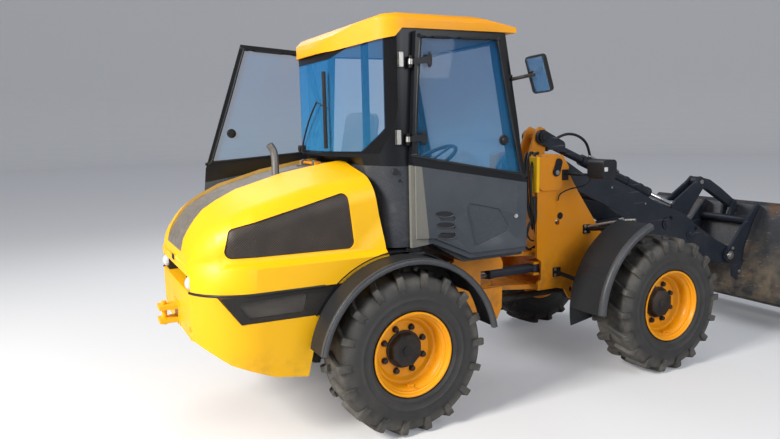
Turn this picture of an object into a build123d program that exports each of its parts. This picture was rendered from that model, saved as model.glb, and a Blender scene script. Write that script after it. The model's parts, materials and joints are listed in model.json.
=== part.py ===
"""An articulated compact wheel loader with a glazed cab, parallel-lift linkage and a bucket.

Lengths are in millimetres. While the pieces are drawn, X runs forward from the rear axle, Y to the
machine's left and Z up from the ground. Each piece is moved once, in save(), so that the stored
origin is on the ground under the middle of the whole machine.
"""
import os
from math import atan, atan2, cos, degrees, hypot, radians, sin, sqrt, tan

from build123d import *

# Wheels and axles
WHEELBASE = 2122
TRACK_HALF = 725
TYRE_RADIUS = 495
TYRE_HALF_WIDTH = 160
LUG_HEIGHT = 28
LUGS_PER_SIDE = 18
TREAD_SIDES = 2 * LUGS_PER_SIDE
RIM_SEAT_RADIUS = 231
RIM_LIP_RADIUS = 257
RIM_HALF_WIDTH = 148
RIM_WALL = 12
DISC_OFFSET = 8
DISC_THICKNESS = 14
HUB_RADIUS = 104
HUB_FACE = 62
STUD_CIRCLE_RADIUS = 140
STUD_COUNT = 8
STUD_RADIUS = 15
AXLE_HEIGHT = TYRE_RADIUS
FIT = 0.3
RUNNING_GAP = 0.5
AXLE_PAD_Y = 290
AXLE_PAD_TOP = 575

# Frames and the pivot between them
PIVOT_X = 1085
PIVOT_UPPER_Z = 850
PIVOT_LOWER_Z = 590
PIVOT_PIN_RADIUS = 32
PIVOT_LUG_THICKNESS = 36
PIVOT_CLEARANCE = 3
REAR_FRAME_HALF = 350
FRAME_PLATE = 20
TOWER_HALF = 280
TOWER_PLATE = 25

# Cab
CAB_HALF = 660
CAB_REAR_X = -265
CAB_FRONT_CORNER = 90
CAB_FLOOR = 40
ROOF_OVERHANG = 14
CAB_FLOOR_Z = 965
ARCH_TOP_Z = 1100
CAB_WALL = 45
CAB_SILL_Z = 1625
CAB_ROOF_Z = 2395
ROOF_TOP_Z = 2485
PILLAR_X = 85
DOOR_THICKNESS = 40
DOOR_GAP = 6
DOOR_FRONT_X = 945
# Middles of the two hinges (x, y, z); their line leans with the pillar
DOOR_HINGES = ((82, 690, 1750), (106, 690, 2200))
DOOR_OPEN = 168
GLASS = 6

# Hood and counterweight
BELT_HALF = 685
BELT_PROUD = 30
HOOD_WALL = 22
HOOD_BOTTOM_Z = 935
BELT_TOP_Z = 1100
HOOD_FRONT_X = -290
REAR_END_X = -1190
CORNER_START_X = -850
CORNER_RADIUS = 358
HOOD_HINGE = (-290, 1600)
HOOD_STRIP_HALF = 235
HOOD_STRIP_DEPTH = 22
CROWN_SLOPE = 0.25
# Columns: x, top height, shoulder radius
HOOD_SECTIONS = (
    (-1184, 1140, 20),
    (-1168, 1205, 65),
    (-1145, 1250, 95),
    (-1100, 1315, 140),
    (-1050, 1370, 165),
    (-970, 1420, 175),
    (-850, 1478, 175),
    (-560, 1560, 170),
    (-290, 1607, 165),
    (-60, 1634, 160),
)
# Grille window in the hood's side (x, z)
GRILLE_OUTLINE = ((-1032, 1132), (-262, 1126), (-300, 1462), (-985, 1290))
# Rear lamp recess (y, y, z, z)
LAMP_RECESS = (300, 452, 935, 1024)
COUNTERWEIGHT_BOTTOM_Z = 415

# Linkage, side view (x, z)
BOOM_PIVOT = (1520, 1498)
TILT_BASE = (1567, 1720)
BELLCRANK_PIVOT = (3041, 856)
BOOM_TIP = (3503, 631)
LIFT_BASE = (1600, 870)
LIFT_EYE = (2745, 972)
CRANK_TOP = (3387, 1273)
BOOM_HALF = 250
BOOM_PLATE = 32
PIN_RADIUS = 25
PIN_GAP = 0.08
SIDE_GAP = 5
LIFT_AXIS_Y = 150
CRANK_INNER = 35
CRANK_PLATE = 25
CRANK_WIDTH = 55
HITCH_INNER = 262
HITCH_PLATE = 25
EAR_INNER = 48
EAR_PLATE = 22
BUCKET_HALF = 930
BUCKET_PLATE = 12
BACK_HIGH = (3918, 1043)
BACK_LOW = (3667, 505)

# Steering ram, plan view (x, y) and its height
STEER_BASE = (655, -230)
STEER_EYE = (1398, -210)
STEER_Z = 745
SHAFT_Z = 475

# Tie-down holes in the foot of the tower plates
TIE_DOWN = (1706, 552)
TIE_DOWN_RADIUS = 24

FRONT_END_X = 4262
HITCH_END_X = REAR_END_X - 112
ORIGIN_X = (FRONT_END_X + HITCH_END_X) / 2

# Points of the two parallelograms
TILT_EYE = (
    BELLCRANK_PIVOT[0] + TILT_BASE[0] - BOOM_PIVOT[0],
    BELLCRANK_PIVOT[1] + TILT_BASE[1] - BOOM_PIVOT[1],
)
HITCH_TOP = (
    BOOM_TIP[0] + CRANK_TOP[0] - BELLCRANK_PIVOT[0],
    BOOM_TIP[1] + CRANK_TOP[1] - BELLCRANK_PIVOT[1],
)


def save(name, *solids):
    """Write one node, moved to the stored origin."""
    shape = solids[0] if len(solids) == 1 else Compound(children=list(solids))
    export_step(Pos(-ORIGIN_X, 0, 0) * shape, f"parts/{name}.step")


def block(x0, x1, y0, y1, z0, z1):
    """A box given by its limits."""
    return Pos((x0 + x1) / 2, (y0 + y1) / 2, (z0 + z1) / 2) * Box(x1 - x0, y1 - y0, z1 - z0)


def plate(points, y0, y1):
    """A side-view outline of (x, z) points, extruded from y0 to y1."""
    outline = Polyline(*[(x, y0, z) for x, z in points], close=True)
    return extrude(make_face(outline), amount=y1 - y0, dir=(0, 1, 0))


def soft_plate(points, radius, y0, y1):
    """As plate, with every corner of the outline rounded."""
    outline = FilletPolyline(*[(x, y0, z) for x, z in points], radius=radius, close=True)
    return extrude(make_face(outline), amount=y1 - y0, dir=(0, 1, 0))


def plan(points, z0, z1):
    """A plan-view outline of (x, y) points, extruded from z0 to z1."""
    outline = Polyline(*[(x, y, z0) for x, y in points], close=True)
    return extrude(make_face(outline), amount=z1 - z0, dir=(0, 0, 1))


def cross_bar(point, radius, y0, y1):
    """A round bar along Y through the side-view point."""
    return Pos(point[0], (y0 + y1) / 2, point[1]) * Rot(90, 0, 0) * Cylinder(radius, y1 - y0)


def post(x, y, radius, z0, z1):
    """A round bar along Z."""
    return Pos(x, y, (z0 + z1) / 2) * Cylinder(radius, z1 - z0)


def bar(start, end, radius, y=0.0):
    """A round bar between two side-view points at one y."""
    length = hypot(end[0] - start[0], end[1] - start[1])
    pitch = degrees(atan2(end[1] - start[1], end[0] - start[0]))
    turn = Pos(start[0], y, start[1]) * Rot(0, -pitch, 0) * Rot(0, 90, 0)
    return turn * Pos(0, 0, length / 2) * Cylinder(radius, length)


def rod_3d(start, end, radius):
    """A round bar between two points in space."""
    a, b = Vector(*start), Vector(*end)
    return extrude(Plane(origin=a, z_dir=b - a) * Circle(radius), amount=(b - a).length)


def turned(points):
    """A ring from a closed outline of (radius, y), turned about Y."""
    outline = Polyline(*[(r, y, 0) for r, y in points], close=True)
    return revolve(make_face(outline), Axis.Y)


def mirrored(shape):
    """The same piece on the other side of the machine."""
    return mirror(shape, about=Plane.XZ)


def along(start, end, distance):
    """The side-view point at a distance from start towards end."""
    length = hypot(end[0] - start[0], end[1] - start[1])
    share = distance / length
    return (start[0] + share * (end[0] - start[0]), start[1] + share * (end[1] - start[1]))


# Wheels

def many_sided(radius, y):
    """A flat many-sided face square to Y, one side under each lug; radius is to its flats."""
    turn = radians(180 / TREAD_SIDES)
    return Plane(origin=(0, y, 0), x_dir=(cos(turn), 0, sin(turn)), z_dir=(0, 1, 0)) * RegularPolygon(
        radius, TREAD_SIDES, major_radius=False
    )


def make_tyre():
    """A lug tyre on its own centre: bands of flats as wide as a lug, with staggered lugs fused on."""
    base = TYRE_RADIUS - LUG_HEIGHT
    half = TYRE_HALF_WIDTH
    shoulder, cheek = half - 26, 395
    bead = RIM_HALF_WIDTH - 22.5
    seat, lip = RIM_SEAT_RADIUS + FIT, RIM_LIP_RADIUS + 4
    side = extrude(many_sided(base, 0), amount=half)
    cap = side.faces().sort_by(Axis.Y)[-1]
    side = chamfer(cap.edges(), base - cheek, half - shoulder, reference=cap)
    side -= turned([(0, -1), (seat, -1), (seat, bead), (lip, bead + 10), (lip, half + 1), (0, half + 1)])
    tyre = side + mirrored(side)
    lug_top = TYRE_RADIUS * cos(radians(6))
    # Columns: tangential place, sideways place of one lug's outline
    lug_outline = [(-30, half), (16, half), (66, 6), (20, 6)]
    face = make_face(Polyline(*[(t, y, base - 50) for t, y in lug_outline], close=True))
    lug = extrude(face, amount=lug_top - base + 50, dir=(0, 0, 1))
    step = 360 / LUGS_PER_SIDE
    lugs = []
    for i in range(LUGS_PER_SIDE):
        lugs.append(Rot(0, i * step, 0) * lug)
        lugs.append(Rot(0, (i + 0.5) * step, 0) * mirror(lug, about=Plane.XZ))
    return tyre + lugs


def make_rim():
    """A deep dished rim; +Y is its outer side."""
    seat, lip, wall = RIM_SEAT_RADIUS, RIM_LIP_RADIUS, RIM_WALL
    half = RIM_HALF_WIDTH
    # Columns: radius, sideways place; round the outer flange, the seats, then the dish
    section = [
        (lip, half),
        (lip, half - 12),
        (seat, half - 22),
        (seat, -half + 22),
        (lip, -half + 12),
        (lip, -half),
        (seat - wall, -half),
        (seat - wall, DISC_OFFSET - DISC_THICKNESS),
        (HUB_RADIUS - 30, DISC_OFFSET - DISC_THICKNESS),
        (HUB_RADIUS - 30, DISC_OFFSET),
        (172, DISC_OFFSET),
        (seat - 16, DISC_OFFSET + 34),
        (seat - 16, half - 44),
        (lip - 16, half),
    ]
    return turned(section)


def make_hub():
    """The planetary hub: a drum through the disc, an octagonal flange and the wheel nuts."""
    inner = DISC_OFFSET - DISC_THICKNESS - FIT
    drum = turned([(0, -70), (115, -70), (150, inner), (0, inner)])
    neck = turned([(0, inner), (HUB_RADIUS - 31, inner), (HUB_RADIUS - 31, DISC_OFFSET + FIT), (0, DISC_OFFSET + FIT)])
    flange = extrude(
        Plane(origin=(0, DISC_OFFSET + FIT, 0), z_dir=(0, 1, 0)) * RegularPolygon(HUB_RADIUS + 8, 8), amount=12
    )
    cap = turned([(0, DISC_OFFSET + FIT), (HUB_RADIUS - 6, DISC_OFFSET + FIT), (HUB_RADIUS - 14, HUB_FACE), (0, HUB_FACE)])
    hub = drum + neck + flange + cap
    nut = Plane(origin=(STUD_CIRCLE_RADIUS, DISC_OFFSET + FIT, 0), z_dir=(0, 1, 0)) * RegularPolygon(STUD_RADIUS, 6)
    nut_solid = extrude(nut, amount=26)
    nuts = [Rot(0, (i + 0.5) * 360 / STUD_COUNT, 0) * nut_solid for i in range(STUD_COUNT)]
    return hub, nuts


def make_wheels():
    """Write tyre, rim and hub of each wheel."""
    tyre, rim = make_tyre(), make_rim()
    hub, nuts = make_hub()
    for axle, x in (("front", WHEELBASE), ("rear", 0)):
        for side, sign in (("right", -1), ("left", 1)):
            place = Pos(x, sign * TRACK_HALF, AXLE_HEIGHT)
            flip = Rot(0, 0, 180) if sign < 0 else Rot(0, 0, 0)
            save(f"tyre_{axle}_{side}", place * tyre)
            save(f"rim_{axle}_{side}", place * flip * rim)
            save(f"hub_{axle}_{side}", *[place * flip * piece for piece in (hub, *nuts)])


def axle_beam(x, toward):
    """The driven axle: centre casing, tapered tubes, end flanges and its shaft up to the pivot."""
    end = TRACK_HALF - 70 - RUNNING_GAP
    profile = [(0, -end), (112, -end), (112, -end + 22), (70, -end + 60), (62, -190), (150, -120)]
    profile += [(150, 120), (62, 190), (70, end - 60), (112, end - 22), (112, end), (0, end)]
    beam = Pos(x, 0, AXLE_HEIGHT) * turned(profile)
    joint_x = PIVOT_X - toward * 15
    shaft = rod_3d((x, 0, SHAFT_Z), (joint_x, 0, SHAFT_Z), 26)
    yoke = rod_3d((joint_x - toward * 70, 0, SHAFT_Z), (joint_x, 0, SHAFT_Z), 38)
    nose = rod_3d((x, 0, SHAFT_Z), (x + toward * 230, 0, SHAFT_Z), 75)
    beam += [shaft, yoke, nose]
    for y in (-AXLE_PAD_Y, AXLE_PAD_Y):
        beam += block(x - 80, x + 80, y - 40, y + 40, AXLE_HEIGHT, AXLE_PAD_TOP)
    return beam


# Rear frame

def pivot_fork(z):
    """The rear frame's pair of lugs and its pin about one front-frame lug."""
    reach = PIVOT_PIN_RADIUS + 30
    gap = PIVOT_LUG_THICKNESS / 2 + PIVOT_CLEARANCE
    fork = post(PIVOT_X, 0, PIVOT_PIN_RADIUS, z - gap - 28, z + gap + 28)
    for low, high in ((z - gap - 28, z - gap), (z + gap, z + gap + 28)):
        fork += plan([(875, -150), (PIVOT_X, -reach), (PIVOT_X, reach), (875, 150)], low, high)
        fork += post(PIVOT_X, 0, reach, low, high)
    return fork


def make_rear_frame():
    """Two long plates joined by cross plates, with the pivot lugs at the front."""
    half, wall = REAR_FRAME_HALF, FRAME_PLATE
    inner = half - wall
    top = PIVOT_UPPER_Z + 50
    # Side outline of a long plate, over the axle and down at the front
    outline = [(-960, 640), (-960, 870), (560, 870), (600, top), (985, top), (1010, 850)]
    outline += [(1000, 520), (960, 440), (900, 440), (620, 480), (480, 650), (-300, 670), (-420, 540), (-700, 540)]
    side = plate(outline, half - wall, half)
    side -= block(820, 1100, inner - 5, half + 5, STEER_Z - 70, STEER_Z + 60)
    frame = side + mirrored(side)
    frame += block(-960, -940, -inner, inner, 640, 870)
    frame += block(-320, -290, -inner, inner, 680, 870)
    frame += block(560, 960, -inner, inner, top - 18, top)
    frame += block(560, 900, -inner, inner, 530, 550)
    frame += block(850, 880, -150, 150, 520, top) - block(840, 890, -160, -85, STEER_Z - 50, STEER_Z + 50)
    frame += pivot_fork(PIVOT_UPPER_Z)
    frame += pivot_fork(PIVOT_LOWER_Z)
    for sign in (-1, 1):
        frame += block(-90, 90, sign * AXLE_PAD_Y - 45, sign * AXLE_PAD_Y + 45, AXLE_PAD_TOP + FIT, 720)
        for x0, z0, top_z in ((600, top - 10, CAB_FLOOR_Z), (880, top - 10, CAB_FLOOR_Z), (-20, 860, ARCH_TOP_Z)):
            frame += block(x0, x0 + 80, sign * 330 - 22, sign * 330 + 22, z0, top_z - FIT)
        upright = block(-284, -268, sign * 137 - 10, sign * 137 + 10, 780, 1590)
        upright += block(-306, -268, sign * 137 - 10, sign * 137 + 10, 1587, 1614)
        frame += upright
    frame += block(-290, -268, -inner, inner, 780, 870)
    frame += cross_bar(HOOD_HINGE, 10, -150, 150)
    for z0 in (STEER_Z - 60, STEER_Z + 42):
        frame += block(STEER_BASE[0] - 70, STEER_BASE[0] + 40, -inner, STEER_BASE[1] + 45, z0, z0 + 18)
    save("rear_chassis", frame)
    save("rear_axle", axle_beam(0, 1))
    engine = block(-900, -330, -250, 250, 700, 1330)
    for x0 in (-800, -480):
        engine += block(x0, x0 + 60, -inner + FIT, inner - FIT, 760, 800)
    save("engine_block", engine)


def make_counterweight():
    """The rear ballast casting, its dark side panels, lamps and the tow hitch."""
    outline = [(REAR_END_X - 50, HOOD_BOTTOM_Z - 5), (REAR_END_X - 50, 655), (REAR_END_X + 12, 655), (-1020, 543)]
    outline += [(-785, 447), (-590, COUNTERWEIGHT_BOTTOM_Z), (-505, 765), (-960, 770), (-1075, HOOD_BOTTOM_Z - 5)]
    solid = plate(outline, -BELT_HALF, BELT_HALF) & extrude(belt_outline(0, 300), amount=800)
    pocket = REAR_FRAME_HALF + FIT
    solid -= block(-960 - FIT, 0, -pocket, pocket, 300, 1000)
    solid -= block(REAR_END_X - 60, REAR_END_X + 36 + FIT, -92, 92, 648, 802)
    # A cone sunk into the rear face near each edge
    for y in (-420, 420):
        solid -= Pos(REAR_END_X + 24, y, 700) * Rot(0, -90, 0) * Cone(10, 34, 50)
    save("counterweight", solid)
    panel_outline = [(-1069, HOOD_BOTTOM_Z - 5), (-300, HOOD_BOTTOM_Z - 5), (-300, 905), (-480, 765 + FIT), (-959, 770 + FIT)]
    outer = BELT_HALF - 8
    panel = plate(panel_outline, outer - 50, outer)
    mesh = [(-980, 890), (-570, 905), (-600, 795), (-915, 797)]
    panel -= soft_plate(mesh, 18, outer - 14, outer + 5)
    save("side_panels", panel, mirrored(panel))
    y0, y1, z0, z1 = LAMP_RECESS
    lamp = block(REAR_END_X + 14, REAR_END_X + 80, y0 + 8, y1 - 12, z0 - 5 + FIT, z1 - 8)
    lamp -= block(REAR_END_X, REAR_END_X + 24, y0 + 16, y1 - 20, z0 + 6, z1 - 16)
    save("rear_lamps", lamp, mirrored(lamp))
    hitch = block(REAR_END_X - 2, REAR_END_X + 36, -90, 90, 650, 800)
    for z0 in (670, 752):
        hitch += block(HITCH_END_X, REAR_END_X + 5, -55, 55, z0, z0 + 26)
    hitch -= post(HITCH_END_X + 35, 0, 16, 600, 900)
    hitch += post(HITCH_END_X + 35, 0, 15.92, 655, 800)
    save("tow_hitch", hitch)


def arch(x, z, radius, start, end, wall, y0, y1):
    """A curved mudguard band about (x, z), between two angles in degrees from +X."""
    ring = cross_bar((x, z), radius, y0, y1) - cross_bar((x, z), radius - wall, y0 - 1, y1 + 1)
    reach = 2 * radius
    steps = 6
    fan = [(x, z)]
    for i in range(steps + 1):
        a = radians(start + (end - start) * i / steps)
        fan.append((x + reach * cos(a), z + reach * sin(a)))
    return ring & plate(fan, y0 - 2, y1 + 2)


def make_rear_fenders():
    """Rear mudguards with their inner brackets."""
    guard = arch(0, 480, 590, 10, 170, 14, BELT_HALF + 15, 892)
    guard += arch(0, 480, 590, 10, 170, 30, 876, 892)
    # Bracket from under the cab floor
    guard += block(75, 175, 600, 654, 1052, ARCH_TOP_Z - FIT) + block(75, 175, 600, 706, 1052, 1068)
    save("rear_fenders", guard, mirrored(guard))


# Hood

def belt_half_at(x):
    """The belt's half width at one x, round its rear corner."""
    reach = min(CORNER_START_X - x, CORNER_START_X - REAR_END_X)
    if reach <= 0:
        return BELT_HALF
    return BELT_HALF - CORNER_RADIUS + sqrt(CORNER_RADIUS**2 - reach**2)


def hood_section(x, top, shoulder, inset):
    """The hood's outline across the machine at one x: a flat crown, sloping shoulders, upright sides."""
    half = belt_half_at(x) - BELT_PROUD - inset
    top, radius, low = top - inset, max(shoulder - inset, 8), BELT_TOP_Z - 30 - 2 * inset
    corner = top - CROWN_SLOPE * (half - HOOD_STRIP_HALF)
    lean = atan(CROWN_SLOPE)
    turn = radians(90) - lean
    cut = radius * tan(turn / 2)
    edges = [Line((x, half, low), (x, -half, low)), Line((x, -HOOD_STRIP_HALF, top), (x, HOOD_STRIP_HALF, top))]
    for side in (-1, 1):
        start = (x, side * half, corner - cut)
        middle = (x, side * (half - radius + radius * cos(turn / 2)), corner - cut + radius * sin(turn / 2))
        end = (x, side * (half - cut * cos(lean)), corner + cut * sin(lean))
        edges.append(Line((x, side * half, low), start))
        edges.append(ThreePointArc(start, middle, end))
        edges.append(Line(end, (x, side * HOOD_STRIP_HALF, top)))
    return make_face(edges)


def hood_upper(inset=0.0):
    """The hood above its belt, lofted through its sections and pulled in by inset."""
    rear = HOOD_SECTIONS[0][0] + inset
    sections = [(x, top, radius) for x, top, radius in HOOD_SECTIONS[1:] if x > rear + 4]
    sections.insert(0, (rear, *HOOD_SECTIONS[0][1:]))
    return loft([hood_section(*row, inset) for row in sections], ruled=True)


def belt_outline(inset, z):
    """Plan outline of the belt with rounded rear corners, as a face at one height."""
    rear, half, radius = REAR_END_X + inset, BELT_HALF - inset, CORNER_RADIUS - inset
    centre = half - radius
    flat = centre + sqrt(radius**2 - (CORNER_START_X - rear) ** 2)
    middle = atan2(flat - centre, rear - CORNER_START_X) / 2 + radians(45)
    edges = [Line((0, -half, z), (0, half, z)), Line((rear, -flat, z), (rear, flat, z))]
    for side in (-1, 1):
        edges.append(Line((0, side * half, z), (CORNER_START_X, side * half, z)))
        ends = (CORNER_START_X, side * half, z), (rear, side * flat, z)
        point = CORNER_START_X + radius * cos(middle), side * (centre + radius * sin(middle)), z
        edges.append(ThreePointArc(ends[0], point, ends[1]))
    return make_face(edges)


def make_hood():
    """The one-piece hood: an arched shell, a proud belt, grille windows and a sunk strip along the top."""
    hood = hood_upper() - hood_upper(HOOD_WALL)
    hood += extrude(belt_outline(0, HOOD_BOTTOM_Z), amount=BELT_TOP_Z - 30 - HOOD_BOTTOM_Z)
    hood += loft([belt_outline(0, BELT_TOP_Z - 30), belt_outline(BELT_PROUD - 2, BELT_TOP_Z)], ruled=True)
    hood -= extrude(belt_outline(BELT_PROUD + HOOD_WALL, 900), amount=BELT_TOP_Z - 900 + 5)
    y0, y1, z0, z1 = LAMP_RECESS
    hood -= block(REAR_END_X - 20, REAR_END_X + 120, -y1, y1, z0 - 50, z1)
    # The slanted front edge, clear of the cab's rear wall
    front = [(-152, 1700), (-152, 1600), (-105, 1310), (-68, 1140), (-56, 1062), (-150, 992), (-215, 962)]
    front += [(HOOD_FRONT_X, HOOD_BOTTOM_Z), (HOOD_FRONT_X, 800), (200, 800), (200, 1700)]
    front = plate(front, -900, 900)
    # The strip along the crown: a channel, its floor and a low rim on each side
    crown = [(x, top) for x, top, radius in HOOD_SECTIONS[1:]]
    crown[-1] = (0, crown[-1][1])
    sunk = [(x, z - HOOD_STRIP_DEPTH) for x, z in crown]
    deep = [(x, z - HOOD_STRIP_DEPTH - HOOD_WALL) for x, z in reversed(crown)]
    half = HOOD_STRIP_HALF
    hood -= plate(sunk + [(0, 1800), (-1400, 1800), (-1400, 1180)], -half, half)
    floor = plate(sunk + deep, -half - 2, half + 2) & hood_upper(2)
    for side in (-1, 1):
        floor += plate(crown + deep, *sorted((side * half, side * (half + 14)))) & hood_upper(1)
    hood += floor
    hood -= front
    window = soft_plate(GRILLE_OUTLINE, 40, 380, BELT_HALF + 20)
    hood -= window
    hood -= mirrored(window)
    hood -= post(-540, -50, 24 + FIT, 1400, 2000)
    # Room for the hinge uprights, and the ears on their pin
    for y in (-137, 137):
        hood -= block(-312, 100, y - 17, y + 17, 1400, 2000)
    for y0 in (-120, 95):
        ear = block(-345, -298, y0, y0 + 25, 1540, 1585) + cross_bar(HOOD_HINGE, 22, y0, y0 + 25)
        hood += ear
    hood -= cross_bar(HOOD_HINGE, 10 + PIN_GAP, -200, 200)
    # A latch on the rear face, in the foot of the strip
    hood += block(REAR_END_X - 2, REAR_END_X + 30, -40, 40, 1050, 1090)
    save("hood", hood)
    make_grilles(window)
    stub = post(-540, -50, 24, 1480, 1640)
    stub += rod_3d((-540, -50, 1625), (-555, -50, 1735), 24)
    stub -= rod_3d((-540, -50, 1640), (-556, -50, 1745), 19)
    save("exhaust_stub", stub)


def make_grilles(window):
    """Side grilles: a thin curved plate set into each of the hood's windows."""
    face = offset(window.faces().sort_by(Axis.Y)[0], -FIT)
    body = (hood_upper(8) - hood_upper(14)) & extrude(face, amount=400, dir=(0, 1, 0))
    save("hood_grilles", body, mirrored(body))


# Cab

def cab_plan(grow, z):
    """The cab's plan outline with a bowed rear, grown outwards by grow, as a face at one height."""
    corners = [(985, -CAB_HALF), (985, CAB_HALF), (-20, CAB_HALF), (CAB_REAR_X, 260)]
    corners += [(CAB_REAR_X, -260), (-20, -CAB_HALF)]
    outline = plan(corners, z, z + 10)
    upright = outline.edges().filter_by(Axis.Z).group_by(Axis.X)
    outline = fillet(upright[0], 470)
    outline = fillet(outline.edges().filter_by(Axis.Z).filter_by(lambda e: -30 < e.center().X < -10), 170)
    outline = fillet(outline.edges().filter_by(Axis.Z).group_by(Axis.X)[-1], CAB_FRONT_CORNER)
    base = outline.faces().sort_by(Axis.Z)[0]
    return offset(base, grow) if grow else base


def cab_envelope(inset):
    """The cab's outer form, pulled in by inset on every side but the bottom."""
    half = CAB_HALF - inset
    body = extrude(cab_plan(-inset, CAB_FLOOR_Z), amount=CAB_ROOF_Z - CAB_FLOOR_Z, dir=(0, 0, 1))
    # Side outline, up the rear, along the roof, down the windscreen and round the wheel arch
    side = [
        (-45 + inset, ARCH_TOP_Z),
        (-130 + inset, CAB_SILL_Z + 20),
        (CAB_REAR_X + inset, CAB_SILL_Z + 25),
        (-243 + inset, 2300 - 0.47 * inset),
        (-120 + 1.58 * inset, CAB_ROOF_Z + 5),
        (800 - inset, CAB_ROOF_Z + 5),
        (975 - inset, 1450),
        (985 - inset, CAB_FLOOR_Z - 5),
        (490, CAB_FLOOR_Z - 5),
        (250, ARCH_TOP_Z),
    ]
    return body & plate(side, -half - 5, half + 5)


def make_cab():
    """Cab frame, its wraparound rear pane, windscreen, roof, and what stands inside."""
    outer, inner = cab_envelope(0), cab_envelope(CAB_WALL)
    step, low = ARCH_TOP_Z + CAB_FLOOR, CAB_FLOOR_Z + CAB_FLOOR
    room = [(-400, step), (250, step), (490, low), (1200, low), (1200, 2350), (-400, 2350)]
    shell = outer - (inner & plate(room, -800, 800))
    door_hole = [(PILLAR_X + 45, 1160), (PILLAR_X + 45, 1640), (PILLAR_X + 83, 2345), (740, 2345), (905, 1450)]
    door_hole += [(905, 1025), (500, 1025), (270, 1160)]
    door_hole = plate(door_hole, 500, 800)
    rear_pane = [(-60, 1668), (20, 1860), (35, 1960), (35, 2350), (-114, 2350), (-400, 2117), (-400, 1668)]
    rear_pane = plate(rear_pane, -800, 800)
    windscreen = block(700, 1200, -535, 535, 1130, 2335)
    for hole in (door_hole, mirrored(door_hole), rear_pane, windscreen):
        shell -= hole
    # Rear corner posts inside the pane, and the hinges of both doors
    for side in (-1, 1):
        shell += block(-104, -70, side * 470 - 18, side * 470 + 18, CAB_SILL_Z + 20, 2360)
    for middle in DOOR_HINGES:
        hinge = hinge_pin(middle, 6, -34, 34)
        for start in (-34, 15):
            x, y, z = hinge_point(middle, start + 9.5)
            hinge += hinge_pin(middle, 12, start, start + 19)
            hinge += block(x - 8, x + 8, CAB_HALF - 5, y, z - 8, z + 8)
        shell += [hinge, mirrored(hinge)]
    save("cab_frame", shell)
    skin = outer - cab_envelope(GLASS)
    save("cab_glass", skin & windscreen, skin & rear_pane)
    make_roof()
    make_cab_inside(step + FIT, low + FIT)
    make_doors()


def make_roof():
    """The roof cap: flat in the middle, falling to the rear, with a dropped lip and a visor in front."""
    low, top = CAB_ROOF_Z + FIT, ROOF_TOP_Z
    cap = extrude(cab_plan(ROOF_OVERHANG, CAB_ROOF_Z - 125), amount=top - CAB_ROOF_Z + 125, dir=(0, 0, 1))
    cap = fillet(cap.faces().sort_by(Axis.Z)[-1].edges(), 45)
    # Side outline, from the rear lip over the top to the visor and back along the underside
    side = [(-320, top - 180), (-245, top - 112), (-150, top - 52), (-40, top - 10), (60, top), (560, top), (878, top - 58)]
    side += [(878, low), (64, low), (20, low - 48), (-60, low - 62), (-230, low - 105), (-320, low - 112)]
    cap = cap & plate(side, -800, 800)
    hollow = extrude(cab_plan(3, CAB_ROOF_Z - 200), amount=200 + FIT, dir=(0, 0, 1))
    hollow = hollow & plate([(-300, low - 190), (-300, low - 139), (-129, low), (64, low), (64, low - 190)], -800, 800)
    save("cab_roof", cap - hollow)


def make_mirrors():
    """Mirrors on arms from the front pillars."""
    head = fillet(Box(26, 150, 235).edges().filter_by(Axis.X), 25)
    head = Pos(930, 838, 2130) * Rot(0, -18, 0) * Rot(0, 0, -12) * head
    arm = rod_3d((832, 668, 2105), (862, 790, 2118), 11) + rod_3d((858, 787, 2118), (930, 822, 2130), 11)
    base = block(815, 848, CAB_HALF + FIT, CAB_HALF + 15, 2075, 2135)
    piece = head + arm + base
    save("mirrors", piece, mirrored(piece))


def make_cab_inside(step, low):
    """Console with the steering column, seat box, seat and steering wheel."""
    dash = plate([(700, low), (860, low), (860, 1500), (760, 1500), (700, 1380)], -230, 230)
    box = plate([(60, step), (250, step), (400, step - 82), (400, 1240), (60, 1240)], -230, 230)
    cushion = block(60, 520, -240, 240, 1240 + FIT, 1350)
    back = plate([(40, 1350 + FIT), (150, 1350 + FIT), (60, 1950), (-40, 1950)], -230, 230)
    save("seat", cushion, back)
    tilt = Pos(640, 0, 1580) * Rot(0, -30, 0)
    rim = turned([(190 + 14 * cos(radians(a)), 14 * sin(radians(a))) for a in range(0, 360, 60)])
    wheel = tilt * (Rot(90, 0, 0) * rim + Cylinder(30, 30) + Box(370, 22, 12) + Box(22, 370, 12))
    column = tilt * Pos(0, 0, -60 - FIT) * Cylinder(22, 90)
    column += rod_3d((735, 0, 1370), tuple((tilt * Pos(0, 0, -90)).position), 24)
    save("steering_wheel", wheel)
    save("cab_console", dash + column)
    save("seat_base", box)


def door_outline():
    """Side outline of a door's outer skin."""
    return [
        (PILLAR_X + 10, 1612),
        (PILLAR_X + 51, 2378),
        (745, 2378),
        (945, 1450),
        (DOOR_FRONT_X, 992),
        (505, 992),
        (240, 1110),
        (PILLAR_X + 10, 1095),
    ]


def hinge_point(middle, distance):
    """A point on the leaning hinge line of the left door."""
    line = Vector(*DOOR_HINGES[1]) - Vector(*DOOR_HINGES[0])
    return Vector(*middle) + line.normalized() * distance


def hinge_pin(middle, radius, low, high):
    """A round bar along the left door's hinge line, between two distances from its middle."""
    return rod_3d(tuple(hinge_point(middle, low)), tuple(hinge_point(middle, high)), radius)


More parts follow.
